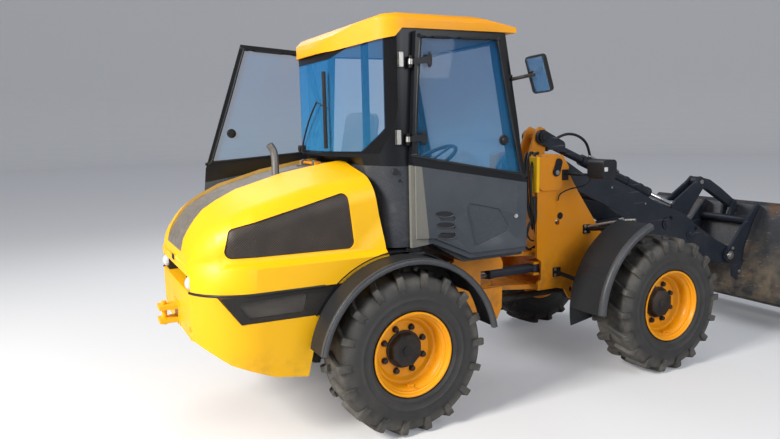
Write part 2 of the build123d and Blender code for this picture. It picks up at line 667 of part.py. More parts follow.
def make_doors():
    """Left and right doors: a framed pane above a moulded panel, hinged at the rear edge."""
    y0, y1 = CAB_HALF + FIT * 10, CAB_HALF + FIT * 10 + DOOR_THICKNESS
    panel = plate(door_outline(), y0, y1)
    opening = [(PILLAR_X + 45, 1640), (PILLAR_X + 84, 2345), (722, 2345), (905, 1500)]
    panel -= soft_plate(opening, 28, y0 - 5, y1 + 5)
    pane = soft_plate(opening, 28, y0 + 15, y0 + 15 + GLASS)
    # The lower panel is drawn in along its bottom and rear edges
    low = [(90, 1000), (90, 1625), (122, 1590), (122, 1150), (250, 1142), (512, 1024), (950, 1024), (950, 985), (500, 985)]
    panel -= plate(low, y1 - 12, y1 + 5)
    for z in (1150, 1200, 1250):
        panel -= soft_plate([(285, z), (395, z - 9), (395, z + 15), (285, z + 24)], 9, y1 - 8, y1 + 5)
    panel -= soft_plate([(470, 1350), (730, 1290), (815, 1150), (540, 1060)], 30, y1 - 7, y1 + 5)
    panel += cross_bar((858, 1235), 15, y1 - 5, y1 + 4)
    for middle in DOOR_HINGES:
        x, y, z = middle
        knuckle = hinge_pin(middle, 12, -14, 14)
        knuckle += block(x, x + 34, y0 + 5, y1, z - 12, z + 12)
        panel += knuckle - hinge_pin(middle, 6 + PIN_GAP, -20, 20)
    save("door_right", mirrored(panel))
    save("door_right_glass", mirrored(pane))
    line = Axis(DOOR_HINGES[0], tuple(Vector(*DOOR_HINGES[1]) - Vector(*DOOR_HINGES[0])))
    save("door_left", panel.rotate(line, DOOR_OPEN))
    save("door_left_glass", pane.rotate(line, DOOR_OPEN))


def make_front_frame():
    """Tower and lower frame of the front half."""
    half, wall = TOWER_HALF, TOWER_PLATE
    inner = half - wall
    # Side outline of a tower plate, from its foot up the rear edge and down the front
    outline = [(1380, 580), (1380, 640), (1410, 660), (1410, 800), (1370, 830), (1370, 1560), (1450, 1605), (1560, 1595)]
    outline += [(1640, 1490), (1755, 1310), (2020, 940), (2085, 950), (2060, 850), (1920, 750), (1790, 610)]
    outline += [(1752, 500), (1735, 478), (1690, 478), (1640, 560), (1560, 580)]
    side = plate(outline, inner, half)
    side -= cross_bar((1560, 1085), 22, inner - 5, half + 5)
    side -= cross_bar(TIE_DOWN, TIE_DOWN_RADIUS, inner - 5, half + 5)
    ear = plate([(1372, 1330), (1372, 1580), (1590, 1590), (1650, 1500), (1640, 1420), (1560, 1330)], half, half + 18)
    ear = fillet(ear.edges().filter_by(Axis.Y).sort_by(Axis.Z)[:2], 50)
    ear += block(1348, 1374, half - 70, half + 18, 1322, 1582)
    ear += soft_plate([(1500, 1440), (1560, 1440), (1575, 1560), (1515, 1560)], 28, half + 17, half + 26)
    frame = side + ear + mirrored(side + ear)
    # Room for the steering ram's eye inside the right plate
    frame -= block(1400, 1485, -inner - 15, -inner + 5, STEER_Z - 38, STEER_Z + 38)
    frame += block(1420, 1445, -inner, inner, 870, 1330)
    frame += block(1500, 1525, -inner, inner, 600, 870)
    frame += block(1380, 1525, -inner, inner, 870, 890)
    frame += block(1380, 1760, -inner, inner, 600, 620)
    frame += block(1700, 2000, -inner, inner, 680, 700)
    for z in (PIVOT_UPPER_Z, PIVOT_LOWER_Z):
        low, high = z - PIVOT_LUG_THICKNESS / 2, z + PIVOT_LUG_THICKNESS / 2
        lug = plan([(PIVOT_X, -60), (1400, -190), (1505, -190), (1505, 190), (1400, 190), (PIVOT_X, 60)], low, high)
        lug += post(PIVOT_X, 0, 60, low, high)
        lug -= post(PIVOT_X, 0, PIVOT_PIN_RADIUS + PIN_GAP, low - 1, high + 1)
        frame += lug
    # Steering ram ears and their pin
    frame += post(STEER_EYE[0], STEER_EYE[1], PIN_RADIUS, STEER_Z - 51, STEER_Z + 51)
    for z0 in (STEER_Z - 51, STEER_Z + 33):
        frame += block(1360, 1500, -inner, -150, z0, z0 + 18)
    # Tall middle ears for the tilt ram
    crest = [(1445, 1330), (1445, 1560), (1520, 1770), (1560, 1800), (1610, 1780), (1625, 1720), (1560, 1330)]
    for y0 in (EAR_INNER, -EAR_INNER - EAR_PLATE):
        frame += plate(crest, y0, y0 + EAR_PLATE)
    frame += block(1420, 1560, -inner, inner, 1310, 1330)
    for sign in (-1, 1):
        pin = cross_bar(BOOM_PIVOT, PIN_RADIUS, inner - 50, half + 24)
        pin += cross_bar(LIFT_BASE, PIN_RADIUS, LIFT_AXIS_Y - 42, inner + 2)
        frame += pin if sign > 0 else mirrored(pin)
    frame += cross_bar(TILT_BASE, PIN_RADIUS, -110, 110)
    for sign in (-1, 1):
        y0, y1 = sorted((sign * (AXLE_PAD_Y + 45), sign * (inner - 40)))
        frame += block(WHEELBASE - 90, WHEELBASE + 90, y0, y1, AXLE_PAD_TOP + FIT, 640)
        y0, y1 = sorted((sign * (half - 1), sign * (inner - 40)))
        frame += block(1930, WHEELBASE + 60, y0, y1, 639, 740)
    frame += block(1990, 2010, -inner, inner, 680, 770)
    save("front_frame", frame)
    save("front_axle", axle_beam(WHEELBASE, -1))


def make_front_fenders():
    """Front mudguards: a band over the rear of each tyre, an inner panel and two struts."""
    x, z, radius = WHEELBASE, 480, 660
    y0, y1 = 540, 872
    guard = arch(x, z, radius, 108, 178, 14, y0, y1)
    guard += arch(x, z, radius, 108, 178, 32, y1 - 16, y1)
    panel = arch(x, z, radius, 108, 190, radius - 330, y0, y0 + 8)
    guard += panel
    start = TOWER_HALF + FIT
    guard += rod_3d((1850, start + 7, 1010), (1930, y0 + 4, 1040), 16)
    guard += rod_3d((1550, start + 7, 705), (1640, y0 + 4, 650), 16)
    guard += block(1810, 1880, start, start + 8, 975, 1045)
    guard += block(1520, 1590, start, start + 8, 670, 740)
    save("front_fenders", guard, mirrored(guard))


def make_headlamps():
    """Headlamps on brackets bolted to the tower's ears."""
    y0 = TOWER_HALF + 18 + FIT
    lamp = block(1660, 1790, 480, 640, 1420, 1560)
    lamp = fillet(lamp.edges().filter_by(Axis.Y), 30)
    bracket = block(1582, 1640, y0, y0 + 8, 1400, 1480) + block(1600, 1680, y0, 485, 1440, 1456)
    lamp += bracket
    save("headlamps", lamp, mirrored(lamp))


def make_steering_ram():
    """The steering ram's barrel, pinned on the front frame, and its rod, in the plan view."""
    a = Vector(STEER_BASE[0], STEER_BASE[1], STEER_Z)
    b = Vector(STEER_EYE[0], STEER_EYE[1], STEER_Z)
    back = (a - b).normalized()
    barrel = rod_3d(b + back * 55, b + back * 430, 36) + rod_3d(b, b + back * 60, 28)
    barrel += post(b.X, b.Y, 38, STEER_Z - 28, STEER_Z + 28)
    barrel -= post(b.X, b.Y, PIN_RADIUS + PIN_GAP, STEER_Z - 60, STEER_Z + 60)
    barrel -= rod_3d(b + back * 48, b + back * 440, 20 + FIT)
    rod = rod_3d(a, a - back * 520, 20)
    rod += post(a.X, a.Y, 30, STEER_Z - 28, STEER_Z + 28)
    save("steering_ram_barrel", barrel)
    save("steering_ram_rod", rod)


# Boom and linkage

def make_boom():
    """Two deep plates joined by a cross tube, with bosses at every pin."""
    y0, y1 = BOOM_HALF - BOOM_PLATE, BOOM_HALF
    top = [(1500, 1590), (1600, 1580), (1855, 1425), (2079, 1407), (2381, 1279), (2642, 1156), (2964, 1032)]
    top += [(3092, 940), (3351, 782), (3520, 705)]
    bottom = [(3575, 640), (3530, 565), (3470, 556), (3108, 649), (2622, 851), (2392, 996), (2065, 1181), (1859, 1273)]
    bottom += [(1640, 1370), (1500, 1405), (1430, 1440), (1430, 1540)]
    side = plate(top + bottom, y0, y1)
    for point, radius in ((BOOM_PIVOT, 75), (BOOM_TIP, 62)):
        side += cross_bar(point, radius, y0 - 6, y1)
    side += cross_bar(LIFT_EYE, 45, LIFT_AXIS_Y + 40 + SIDE_GAP, y1 + 6)
    side += cross_bar(BELLCRANK_PIVOT, 50, y0 - 6, y1 + 6)
    for point in (BOOM_PIVOT, BOOM_TIP, BELLCRANK_PIVOT):
        side -= cross_bar(point, PIN_RADIUS + PIN_GAP, y0 - 20, y1 + 20)
    boom = side + mirrored(side)
    boom += cross_bar((2150, 1225), 40, -y0 - 5, y0 + 5)
    save("boom", boom)


def eye(point, radius, y_mid, half):
    """A round eye at a side-view point."""
    return cross_bar(point, radius, y_mid - half, y_mid + half)


def make_lift_rams():
    """Both lift rams: barrels on the tower, rods up to the boom."""
    barrels, rods = [], []
    for y in (LIFT_AXIS_Y, -LIFT_AXIS_Y):
        barrel = bar(LIFT_BASE, along(LIFT_BASE, LIFT_EYE, 985), 42, y) + eye(LIFT_BASE, 48, y, 36)
        barrel -= cross_bar(LIFT_BASE, PIN_RADIUS + PIN_GAP, y - 50, y + 50)
        barrel -= bar(along(LIFT_BASE, LIFT_EYE, 90), along(LIFT_BASE, LIFT_EYE, 1000), 26 + FIT, y)
        barrels.append(barrel)
        rods.append(bar(along(LIFT_BASE, LIFT_EYE, 170), LIFT_EYE, 26, y) + eye(LIFT_EYE, 44, y, 36))
    save("lift_ram_barrels", *barrels)
    save("lift_ram_rods", *rods)


def make_tilt_ram():
    """The tilt ram: forked base, slim extension, barrel, and rod down to the bellcrank."""
    outer = EAR_INNER + EAR_PLATE + SIDE_GAP
    start, end = TILT_BASE, TILT_EYE
    cheek_end = along(start, end, 190)
    barrel = bar(along(start, end, 150), along(start, end, 520), 32)
    barrel += bar(along(start, end, 500), along(start, end, 950), 45)
    for y0 in (outer, -outer - 22):
        cheek = eye(start, 55, y0 + 11, 11) + eye(cheek_end, 45, y0 + 11, 11)
        dx, dz = (end[0] - start[0]), (end[1] - start[1])
        length = hypot(dx, dz)
        nx, nz = -dz / length, dx / length
        cheek += plate(
            [
                (start[0] + 55 * nx, start[1] + 55 * nz),
                (cheek_end[0] + 45 * nx, cheek_end[1] + 45 * nz),
                (cheek_end[0] - 45 * nx, cheek_end[1] - 45 * nz),
                (start[0] - 55 * nx, start[1] - 55 * nz),
            ],
            y0,
            y0 + 22,
        )
        barrel += cheek
    barrel += eye(along(start, end, 185), 34, 0, outer + 10)
    barrel -= cross_bar(start, PIN_RADIUS + PIN_GAP, -200, 200)
    barrel -= bar(along(start, end, 540), along(start, end, 980), 25 + FIT)
    rod = bar(along(start, end, 780), end, 25) + eye(end, 44, 0, CRANK_INNER - SIDE_GAP)
    save("tilt_ram_barrel", barrel)
    save("tilt_ram_rod", rod)


def make_bellcrank():
    """Twin triangular plates on the boom's middle pin, its hub tube, and the pins."""
    f, e, g = BELLCRANK_PIVOT, TILT_EYE, CRANK_TOP
    outline = [(f[0] - 70, f[1] - 20), (f[0] - 45, f[1] + 120), (e[0] - 50, e[1] + 20), (e[0] - 10, e[1] + 55)]
    outline += [(g[0] - 60, g[1] + 10), (g[0] - 10, g[1] + 50), (g[0] + 45, g[1] + 25), (g[0] + 45, g[1] - 35)]
    outline += [(f[0] + 90, f[1] + 20), (f[0] + 30, f[1] - 60), (f[0] - 40, f[1] - 60)]
    inner, outer = CRANK_INNER, CRANK_INNER + CRANK_PLATE
    twin = plate(outline, inner, outer)
    crank = twin + mirrored(twin)
    hub_end = BOOM_HALF - BOOM_PLATE - 6 - SIDE_GAP
    crank += cross_bar(f, 45, -hub_end, hub_end)
    crank -= cross_bar(f, PIN_RADIUS + PIN_GAP, -300, 300)
    crank -= cross_bar(g, 20 + PIN_GAP, -100, 100)
    save("bellcrank", crank)
    save("bellcrank_pin", cross_bar(f, PIN_RADIUS, -BOOM_HALF - 14, BOOM_HALF + 14))
    link_pin = cross_bar(g, 20, -outer - 8, outer + 8)
    save("link_pin", link_pin)


def make_link():
    """The curved link from the bellcrank's top to the hitch's top."""
    g, h = CRANK_TOP, HITCH_TOP
    half = CRANK_INNER - SIDE_GAP
    # Side outline of the bowed body, upper edge then lower edge
    upper = [(g[0], g[1] + 45), (g[0] + 150, g[1] + 10), (g[0] + 300, g[1] - 75), (h[0], h[1] + 45)]
    lower = [(h[0], h[1] - 40), (g[0] + 270, g[1] - 160), (g[0] + 130, g[1] - 80), (g[0], g[1] - 45)]
    link = plate(upper + lower, -half, half) + eye(g, 45, 0, half) + eye(h, 42, 0, half)
    link -= cross_bar(g, 20 + PIN_GAP, -100, 100)
    link -= cross_bar(h, 20 + PIN_GAP, -100, 100)
    save("tilt_link", link)


def back_line(share, off):
    """A point on the bucket's straight back, share of the way up, pushed off towards the machine."""
    (x0, z0), (x1, z1) = BACK_LOW, BACK_HIGH
    length = hypot(x1 - x0, z1 - z0)
    return (x0 + share * (x1 - x0) - off * (z1 - z0) / length, z0 + share * (z1 - z0) + off * (x1 - x0) / length)


def make_hitch():
    """The quick hitch: side arms, cross tubes, middle ears, and its boom pins."""
    p, h = BOOM_TIP, HITCH_TOP
    front = [back_line(share, FIT) for share in (0.98, 0.0)]
    arm_outline = [(p[0] - 52, p[1] + 22), (p[0] - 10, p[1] + 64), back_line(0.98, 75)] + front
    arm_outline += [(3600, 405), (3560, 430), (3545, 560), (p[0] - 20, p[1] - 55), (p[0] - 50, p[1] - 25)]
    y0, y1 = HITCH_INNER, HITCH_INNER + HITCH_PLATE
    arm = plate(arm_outline, y0, y1)
    arm -= cross_bar(p, PIN_RADIUS + PIN_GAP, y0 - 10, y1 + 10)
    hitch = arm + mirrored(arm)
    hitch += cross_bar(back_line(0.72, 42), 34, -y0 - 5, y0 + 5)
    hitch += cross_bar(back_line(0.12, 42), 30, -y0 - 5, y0 + 5)
    ear = [(h[0] - 30, h[1] + 20), (h[0], h[1] + 34), (h[0] + 25, h[1] + 20), back_line(0.92, 20), back_line(0.68, 20)]
    ear += [back_line(0.68, 60)]
    for e0 in (CRANK_INNER, -CRANK_INNER - 20):
        hitch += plate(ear, e0, e0 + 20)
    hitch += cross_bar(h, 20, -CRANK_INNER - 26, CRANK_INNER + 26)
    save("quick_hitch", hitch)
    pin = cross_bar(p, PIN_RADIUS, BOOM_HALF - BOOM_PLATE - 12, y1 + 10)
    save("boom_tip_pins", pin, mirrored(pin))


def offset_path(points, distance):
    """The points of an open side-view path, each pushed square to it by distance, mitred at the corners."""
    moved = []
    for i, (x, z) in enumerate(points):
        before = points[max(i - 1, 0)]
        after = points[min(i + 1, len(points) - 1)]
        ux, uz = x - before[0], z - before[1]
        vx, vz = after[0] - x, after[1] - z
        if i == 0:
            ux, uz = vx, vz
        if i == len(points) - 1:
            vx, vz = ux, uz
        lu, lv = hypot(ux, uz), hypot(vx, vz)
        nx, nz = -uz / lu - vz / lv, ux / lu + vx / lv
        ln = hypot(nx, nz)
        scale = distance / (ln / 2)
        moved.append((x + nx / ln * scale, z + nz / ln * scale))
    return moved


def make_bucket():
    """The bucket: back, floor and top lip in one bent sheet, side plates, cutting edge, hooks."""
    outer = [(4012, 1062), (3960, 1070), BACK_HIGH, BACK_LOW, (3628, 390), (3592, 320), (3600, 262), (3650, 232), (4170, 72)]
    inner = offset_path(outer, BUCKET_PLATE)
    bucket = plate(outer + inner[::-1], -BUCKET_HALF, BUCKET_HALF)
    cheek = outer[1:] + [(4228, 60), (4232, 95), (4140, 700), (4025, 1048)]
    for y0 in (-BUCKET_HALF, BUCKET_HALF - BUCKET_PLATE):
        bucket += plate(cheek, y0, y0 + BUCKET_PLATE)
    edge = plate([(4100, 94), (4106, 112), (4190, 88), (FRONT_END_X, 44), (4190, 66)], -BUCKET_HALF, BUCKET_HALF)
    bucket += edge
    hook = [back_line(0.1, -2), back_line(0.1, 30), back_line(0.3, 62), back_line(0.7, 62), back_line(0.95, 40)]
    hook += [back_line(0.95, -2)]
    for y0 in (-HITCH_INNER - HITCH_PLATE - 26, HITCH_INNER + HITCH_PLATE + 6):
        bucket += plate(hook, y0, y0 + 20)
    save("bucket", bucket)


def main():
    os.makedirs("parts", exist_ok=True)
    make_wheels()
    make_rear_frame()
    make_counterweight()
    make_rear_fenders()
    make_hood()
    make_cab()
    make_mirrors()
    make_front_frame()
    make_front_fenders()
    make_headlamps()
    make_steering_ram()
    make_boom()
    make_lift_rams()
    make_tilt_ram()
    make_bellcrank()
    make_link()
    make_hitch()
    make_bucket()


main()
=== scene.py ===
# %% [markdown]
# A compact wheel loader, dressed for its picture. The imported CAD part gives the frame: every
# solid already has its place and its size. These cells add what a photograph shows on top of it:
# paint and dust, tread, hoses, bolts, lamps, seals and a cushion to sit on.

import json
import math
import bmesh
import bpy
import numpy as np
from mathutils import Euler, Matrix, Vector

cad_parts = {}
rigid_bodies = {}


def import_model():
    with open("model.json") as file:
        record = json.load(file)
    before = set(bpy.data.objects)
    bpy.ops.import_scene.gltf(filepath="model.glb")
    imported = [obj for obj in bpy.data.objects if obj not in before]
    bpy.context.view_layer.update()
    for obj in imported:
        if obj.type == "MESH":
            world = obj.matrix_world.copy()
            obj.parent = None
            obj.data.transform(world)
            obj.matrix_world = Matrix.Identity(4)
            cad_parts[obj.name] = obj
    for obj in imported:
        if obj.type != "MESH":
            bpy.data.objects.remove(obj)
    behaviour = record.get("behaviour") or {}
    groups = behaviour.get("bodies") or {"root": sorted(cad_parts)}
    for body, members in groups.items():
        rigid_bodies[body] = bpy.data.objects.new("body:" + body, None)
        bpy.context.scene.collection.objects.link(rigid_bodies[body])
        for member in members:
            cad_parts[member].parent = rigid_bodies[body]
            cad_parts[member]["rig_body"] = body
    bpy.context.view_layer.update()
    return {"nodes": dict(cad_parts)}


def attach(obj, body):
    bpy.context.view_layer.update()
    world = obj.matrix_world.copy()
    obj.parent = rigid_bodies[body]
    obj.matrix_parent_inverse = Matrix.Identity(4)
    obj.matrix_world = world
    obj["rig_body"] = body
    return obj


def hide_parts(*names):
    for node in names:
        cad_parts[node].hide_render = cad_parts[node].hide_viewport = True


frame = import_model()
REAR_AXLE_X = -1.480

# %% [markdown]
# The machine is easiest to measure from its rear axle, so every place below is written in metres
# forward of that axle, to the machine's left and up from the ground. One helper moves finished
# points into the frame. A surface is a grid of points worked out as whole arrays, and the faces
# between them come from index arithmetic, which is quicker than adding faces one by one.

# %% Grids of points and the faces between them
def grid_faces(rows, columns, close_columns=False):
    """Quads between neighbours: index = row * columns + column, wrapped where the columns close."""
    r = np.arange(rows - 1)[:, None]
    c = np.arange(columns if close_columns else columns - 1)[None, :]
    r_next, c_next = r + 1, (c + 1) % columns
    corners = [r * columns + c, r_next * columns + c, r_next * columns + c_next, r * columns + c_next]
    return np.stack(np.broadcast_arrays(*corners), -1).reshape(-1, 4).tolist()


def lathe(profile, segments):
    """Turns (radius, y) pairs about Y: x = r cos a, z = r sin a, with a in equal steps."""
    profile = np.asarray(profile, float)
    a = np.arange(segments) * 2 * np.pi / segments
    r, y = profile[:, 0:1], profile[:, 1:2]
    points = np.stack([r * np.cos(a), y + 0 * a, r * np.sin(a)], -1)
    return points.reshape(-1, 3), grid_faces(len(profile), segments, close_columns=True)


print("grid of 3 x 4 points has", len(grid_faces(3, 4)), "faces")

# %% [markdown]
# Hoses, seals and rolled lips are round all along, so a circle is carried along a path. Blender's
# curves could do that, but they would have to be made into meshes before they can be joined. A path
# of few points is smoothed first, because a hose has no corners.

# %% Smooth paths and tubes
def smooth_path(points, steps):
    """A Catmull-Rom curve through the points: each span blends its four neighbours by cubes of t."""
    p = np.asarray(points, float)
    p = np.vstack([2 * p[0] - p[1], p, 2 * p[-1] - p[-2]])
    t = np.linspace(0, 1, steps, endpoint=False)[None, :, None]
    a, b, c, d = (p[i : len(p) - 3 + i, None, :] for i in range(4))
    curve = 0.5 * (2 * b + (c - a) * t + (2 * a - 5 * b + 4 * c - d) * t**2 + (3 * b - a - 3 * c + d) * t**3)
    return np.vstack([curve.reshape(-1, 3), p[-2]])


def tube(path, radius, sides=12):
    """Carries a circle along a path: each ring is the centre plus radius * (cos a, sin a) in its plane."""
    path = np.asarray(path, float)
    along = np.gradient(path, axis=0)
    along /= np.linalg.norm(along, axis=1, keepdims=True)
    overall = path[-1] - path[0]
    helper = np.eye(3)[np.argmin(np.abs(overall))]
    side = np.cross(along, helper)
    side /= np.linalg.norm(side, axis=1, keepdims=True)
    up = np.cross(side, along)
    a = np.arange(sides) * 2 * np.pi / sides
    ring = side[:, None] * np.cos(a)[:, None] + up[:, None] * np.sin(a)[:, None]
    points = path[:, None] + radius * ring
    faces = grid_faces(len(path), sides, close_columns=True)
    faces.append(list(range(sides)))
    faces.append(list(range((len(path) - 1) * sides, len(path) * sides)))
    return points.reshape(-1, 3), faces


print("straight tube has", len(tube([(0, 0, 0), (1, 0, 0)], 0.1)[1]), "faces")

# %% [markdown]
# Plates, blocks and sheets are flat outlines in the side view with a thickness. The machine is the
# same on both sides, so most pieces are made on the right and joined with their mirror image. The
# faces of a mirror image turn inwards, which the next step puts right.

# %% Outlines with a thickness, arcs and mirror images
def prism(outline, y0, y1):
    """A flat (x, z) outline carried from y0 to y1, with both ends closed."""
    outline = np.asarray(outline, float)
    ends = [np.stack([outline[:, 0], np.full(len(outline), y), outline[:, 1]], -1) for y in (y0, y1)]
    n = len(outline)
    faces = grid_faces(2, n, close_columns=True)
    return np.vstack(ends), faces + [list(range(n)), list(range(n, 2 * n))]


def brick(x0, x1, y0, y1, z0, z1):
    """A box from its limits, as a prism of its side view."""
    return prism([(x0, z0), (x1, z0), (x1, z1), (x0, z1)], y0, y1)


def arc_points(x, z, r, start, end, steps):
    """Points of an arc, (x + r cos a, z + r sin a), with a in degrees from forward."""
    a = np.radians(np.linspace(start, end, steps))
    return np.stack([x + r * np.cos(a), z + r * np.sin(a)], -1)


def joined(parts):
    """Several (points, faces) pairs as one, each later pair's indices moved past the earlier ones."""
    starts = np.cumsum([0] + [len(points) for points, _ in parts])
    faces = [[i + int(s) for i in face] for s, (_, faces) in zip(starts, parts) for face in faces]
    return np.vstack([points for points, _ in parts]), faces


def other_side(part):
    """The same surface on the machine's other side: y changes sign."""
    points, faces = part
    return points * (1, -1, 1), faces


def both_sides(part):
    """A surface and its mirror image as one."""
    return joined([part, other_side(part)])


print("box and its mirror image have", len(both_sides(brick(0, 1, 1, 2, 0, 1))[1]), "faces")

# %% [markdown]
# Every new piece goes through one function. It moves the points into the frame, turns the faces
# outwards, shades them smooth up to an angle, rounds hard edges with a small bevel so that they
# catch light as real edges do, and says which body carries the piece.

# %% Make a piece, or dress a solid of the frame
WELD, CAD_WELD = 1e-5, 2e-5
FLAT_ANGLE = 1e-3
CAD_SHARP = 30


def finish_mesh(obj, angle, bevel):
    """Smooth shading up to an angle, then a narrow bevel on the sharper edges."""
    mesh = obj.data
    mesh.polygons.foreach_set("use_smooth", np.ones(len(mesh.polygons), bool))
    mesh.set_sharp_from_angle(angle=math.radians(angle))
    if bevel:
        edge = obj.modifiers.new("edges", "BEVEL")
        edge.width, edge.segments, edge.limit_method = bevel, 2, "ANGLE"
        edge.angle_limit = math.radians(angle)
        edge.harden_normals = True


def piece(name, part, body, material, angle, bevel=0.0, replaces=()):
    """A new object from (points, faces) measured from the rear axle."""
    points, faces = part
    mesh = bpy.data.meshes.new(name)
    mesh.from_pydata((np.asarray(points) + (REAR_AXLE_X, 0, 0)).tolist(), [], faces)
    tidy = bmesh.new()
    tidy.from_mesh(mesh)
    bmesh.ops.remove_doubles(tidy, verts=tidy.verts, dist=WELD)
    bmesh.ops.recalc_face_normals(tidy, faces=tidy.faces)
    tidy.to_mesh(mesh)
    tidy.free()
    obj = bpy.data.objects.new(name, mesh)
    bpy.context.scene.collection.objects.link(obj)
    mesh.materials.append(material)
    finish_mesh(obj, angle, bevel)
    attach(obj, body)
    for node in replaces:
        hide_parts(node)
    return obj


def dressed(node, material, bevel):
    """A merged copy of a solid, with soft shading and narrow bevels, shown in its place."""
    source = frame["nodes"][node]
    mesh = source.data.copy()
    tidy = bmesh.new()
    tidy.from_mesh(mesh)
    bmesh.ops.remove_doubles(tidy, verts=tidy.verts, dist=CAD_WELD)
    flat = [e for e in tidy.edges if len(e.link_faces) == 2 and e.calc_face_angle(1) < FLAT_ANGLE]
    bmesh.ops.dissolve_edges(tidy, edges=flat, use_verts=False)
    tidy.to_mesh(mesh)
    tidy.free()
    mesh.materials.clear()
    mesh.materials.append(material)
    obj = bpy.data.objects.new(node + "_shown", mesh)
    bpy.context.scene.collection.objects.link(obj)
    finish_mesh(obj, CAD_SHARP, bevel)
    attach(obj, source["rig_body"])
    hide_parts(node)
    return obj


print("helpers ready")

# %% [markdown]
# Paint on a working machine is never one colour. Each finish below starts from a plain shader and
# lays noise over it: broad noise for dust and fading, fine noise for grain, stretched noise for
# scratches. All of it reads Object coordinates, so that it stays put when a joint moves.

# %% A new finish, and noise on Object coordinates
def new_finish(name, colour, roughness, metallic=0.0, coat=0.0):
    """An empty finish with its shader set; returns material, tree and shader."""
    material = bpy.data.materials.new(name)
    material.use_nodes = True
    tree = material.node_tree
    shader = tree.nodes["Principled BSDF"]
    shader.inputs["Base Color"].default_value = (*colour, 1)
    shader.inputs["Roughness"].default_value = roughness
    shader.inputs["Metallic"].default_value = metallic
    shader.inputs["Coat Weight"].default_value = coat
    shader.inputs["Coat Roughness"].default_value = 0.08
    material.diffuse_color = (*colour, 1)
    return material, tree, shader


def object_place(tree, scale=(1, 1, 1)):
    """Object coordinates through a Mapping node."""
    source = tree.nodes.new("ShaderNodeTexCoord")
    mapping = tree.nodes.new("ShaderNodeMapping")
    mapping.inputs["Scale"].default_value = scale
    tree.links.new(source.outputs["Object"], mapping.inputs["Vector"])
    return mapping.outputs["Vector"]


def step_up(tree, value, low, high):
    """0 below low and 1 above high, in a straight line between; low above high turns it round."""
    node = tree.nodes.new("ShaderNodeMapRange")
    node.inputs["From Min"].default_value = low
    node.inputs["From Max"].default_value = high
    tree.links.new(value, node.inputs["Value"])
    return node.outputs["Result"]


def noise(tree, scale, low, high, detail=6.0, stretch=(1, 1, 1)):
    """Noise with scale patches a metre and detail octaves, stepped up between two levels."""
    source = tree.nodes.new("ShaderNodeTexNoise")
    source.inputs["Scale"].default_value = scale
    source.inputs["Detail"].default_value = detail
    source.inputs["Roughness"].default_value = 0.6
    tree.links.new(object_place(tree, stretch), source.inputs["Vector"])
    return step_up(tree, source.outputs["Fac"], low, high)


print("noise helper ready")

# %% [markdown]
# A mask is a number from 0 to 1, and most finishes are masks combined by a few sums and used to mix
# two colours. One short function for each kind of node keeps a finish to a few readable lines, and
# each takes either a plain value or another node's socket.

# %% Sums, mixes and masks
def calc(tree, operation, a, b=0.0):
    """One Math node; a and b are numbers or sockets."""
    node = tree.nodes.new("ShaderNodeMath")
    node.operation = operation
    for socket, value in zip(node.inputs, (a, b)):
        if isinstance(value, (int, float)):
            socket.default_value = value
        else:
            tree.links.new(value, socket)
    return node.outputs["Value"]


def blend_colour(tree, amount, first, second):
    """first where the amount's socket is 0, second where it is 1; both are colours or sockets."""
    node = tree.nodes.new("ShaderNodeMix")
    node.data_type = "RGBA"
    tree.links.new(amount, node.inputs["Factor"])
    for name, value in (("A", first), ("B", second)):
        socket = [s for s in node.inputs if s.name == name and s.type == "RGBA"][0]
        if isinstance(value, tuple):
            socket.default_value = (*value, 1)
        else:
            tree.links.new(value, socket)
    return [s for s in node.outputs if s.type == "RGBA"][0]


def set_input(tree, shader, name, value):
    """Links a socket to one of the shader's inputs."""
    tree.links.new(value, shader.inputs[name])


def add_bump(tree, shader, height, strength, distance):
    """Raises the surface where height is 1."""
    node = tree.nodes.new("ShaderNodeBump")
    node.inputs["Strength"].default_value = strength
    node.inputs["Distance"].default_value = distance
    tree.links.new(height, node.inputs["Height"])
    tree.links.new(node.outputs["Normal"], shader.inputs["Normal"])


def coordinate(tree, axis):
    """One Object coordinate as a number; X is from the frame's origin, not from the axle."""
    split = tree.nodes.new("ShaderNodeSeparateXYZ")
    tree.links.new(object_place(tree), split.inputs["Vector"])
    return split.outputs[axis]


print("shader helpers ready")

# %% [markdown]
# The yellow is sprayed enamel, faded by the sun and dusty from work. A photograph of paint would
# need unwrapping and would blur close up, so noise makes the patches. The hood's crown wears a dark
# strip against glare: a mask of half width and height finds it, and the sheet stays whole.

# %% Paints
DUST = (0.36, 0.27, 0.17)
MUD = (0.10, 0.07, 0.045)
STRIP_GREYS = (0.13, 0.115, 0.10), (0.20, 0.18, 0.155)
CROWN_STRIP = (0.2345, 1.135)
GRIME_DEPTH = 0.45


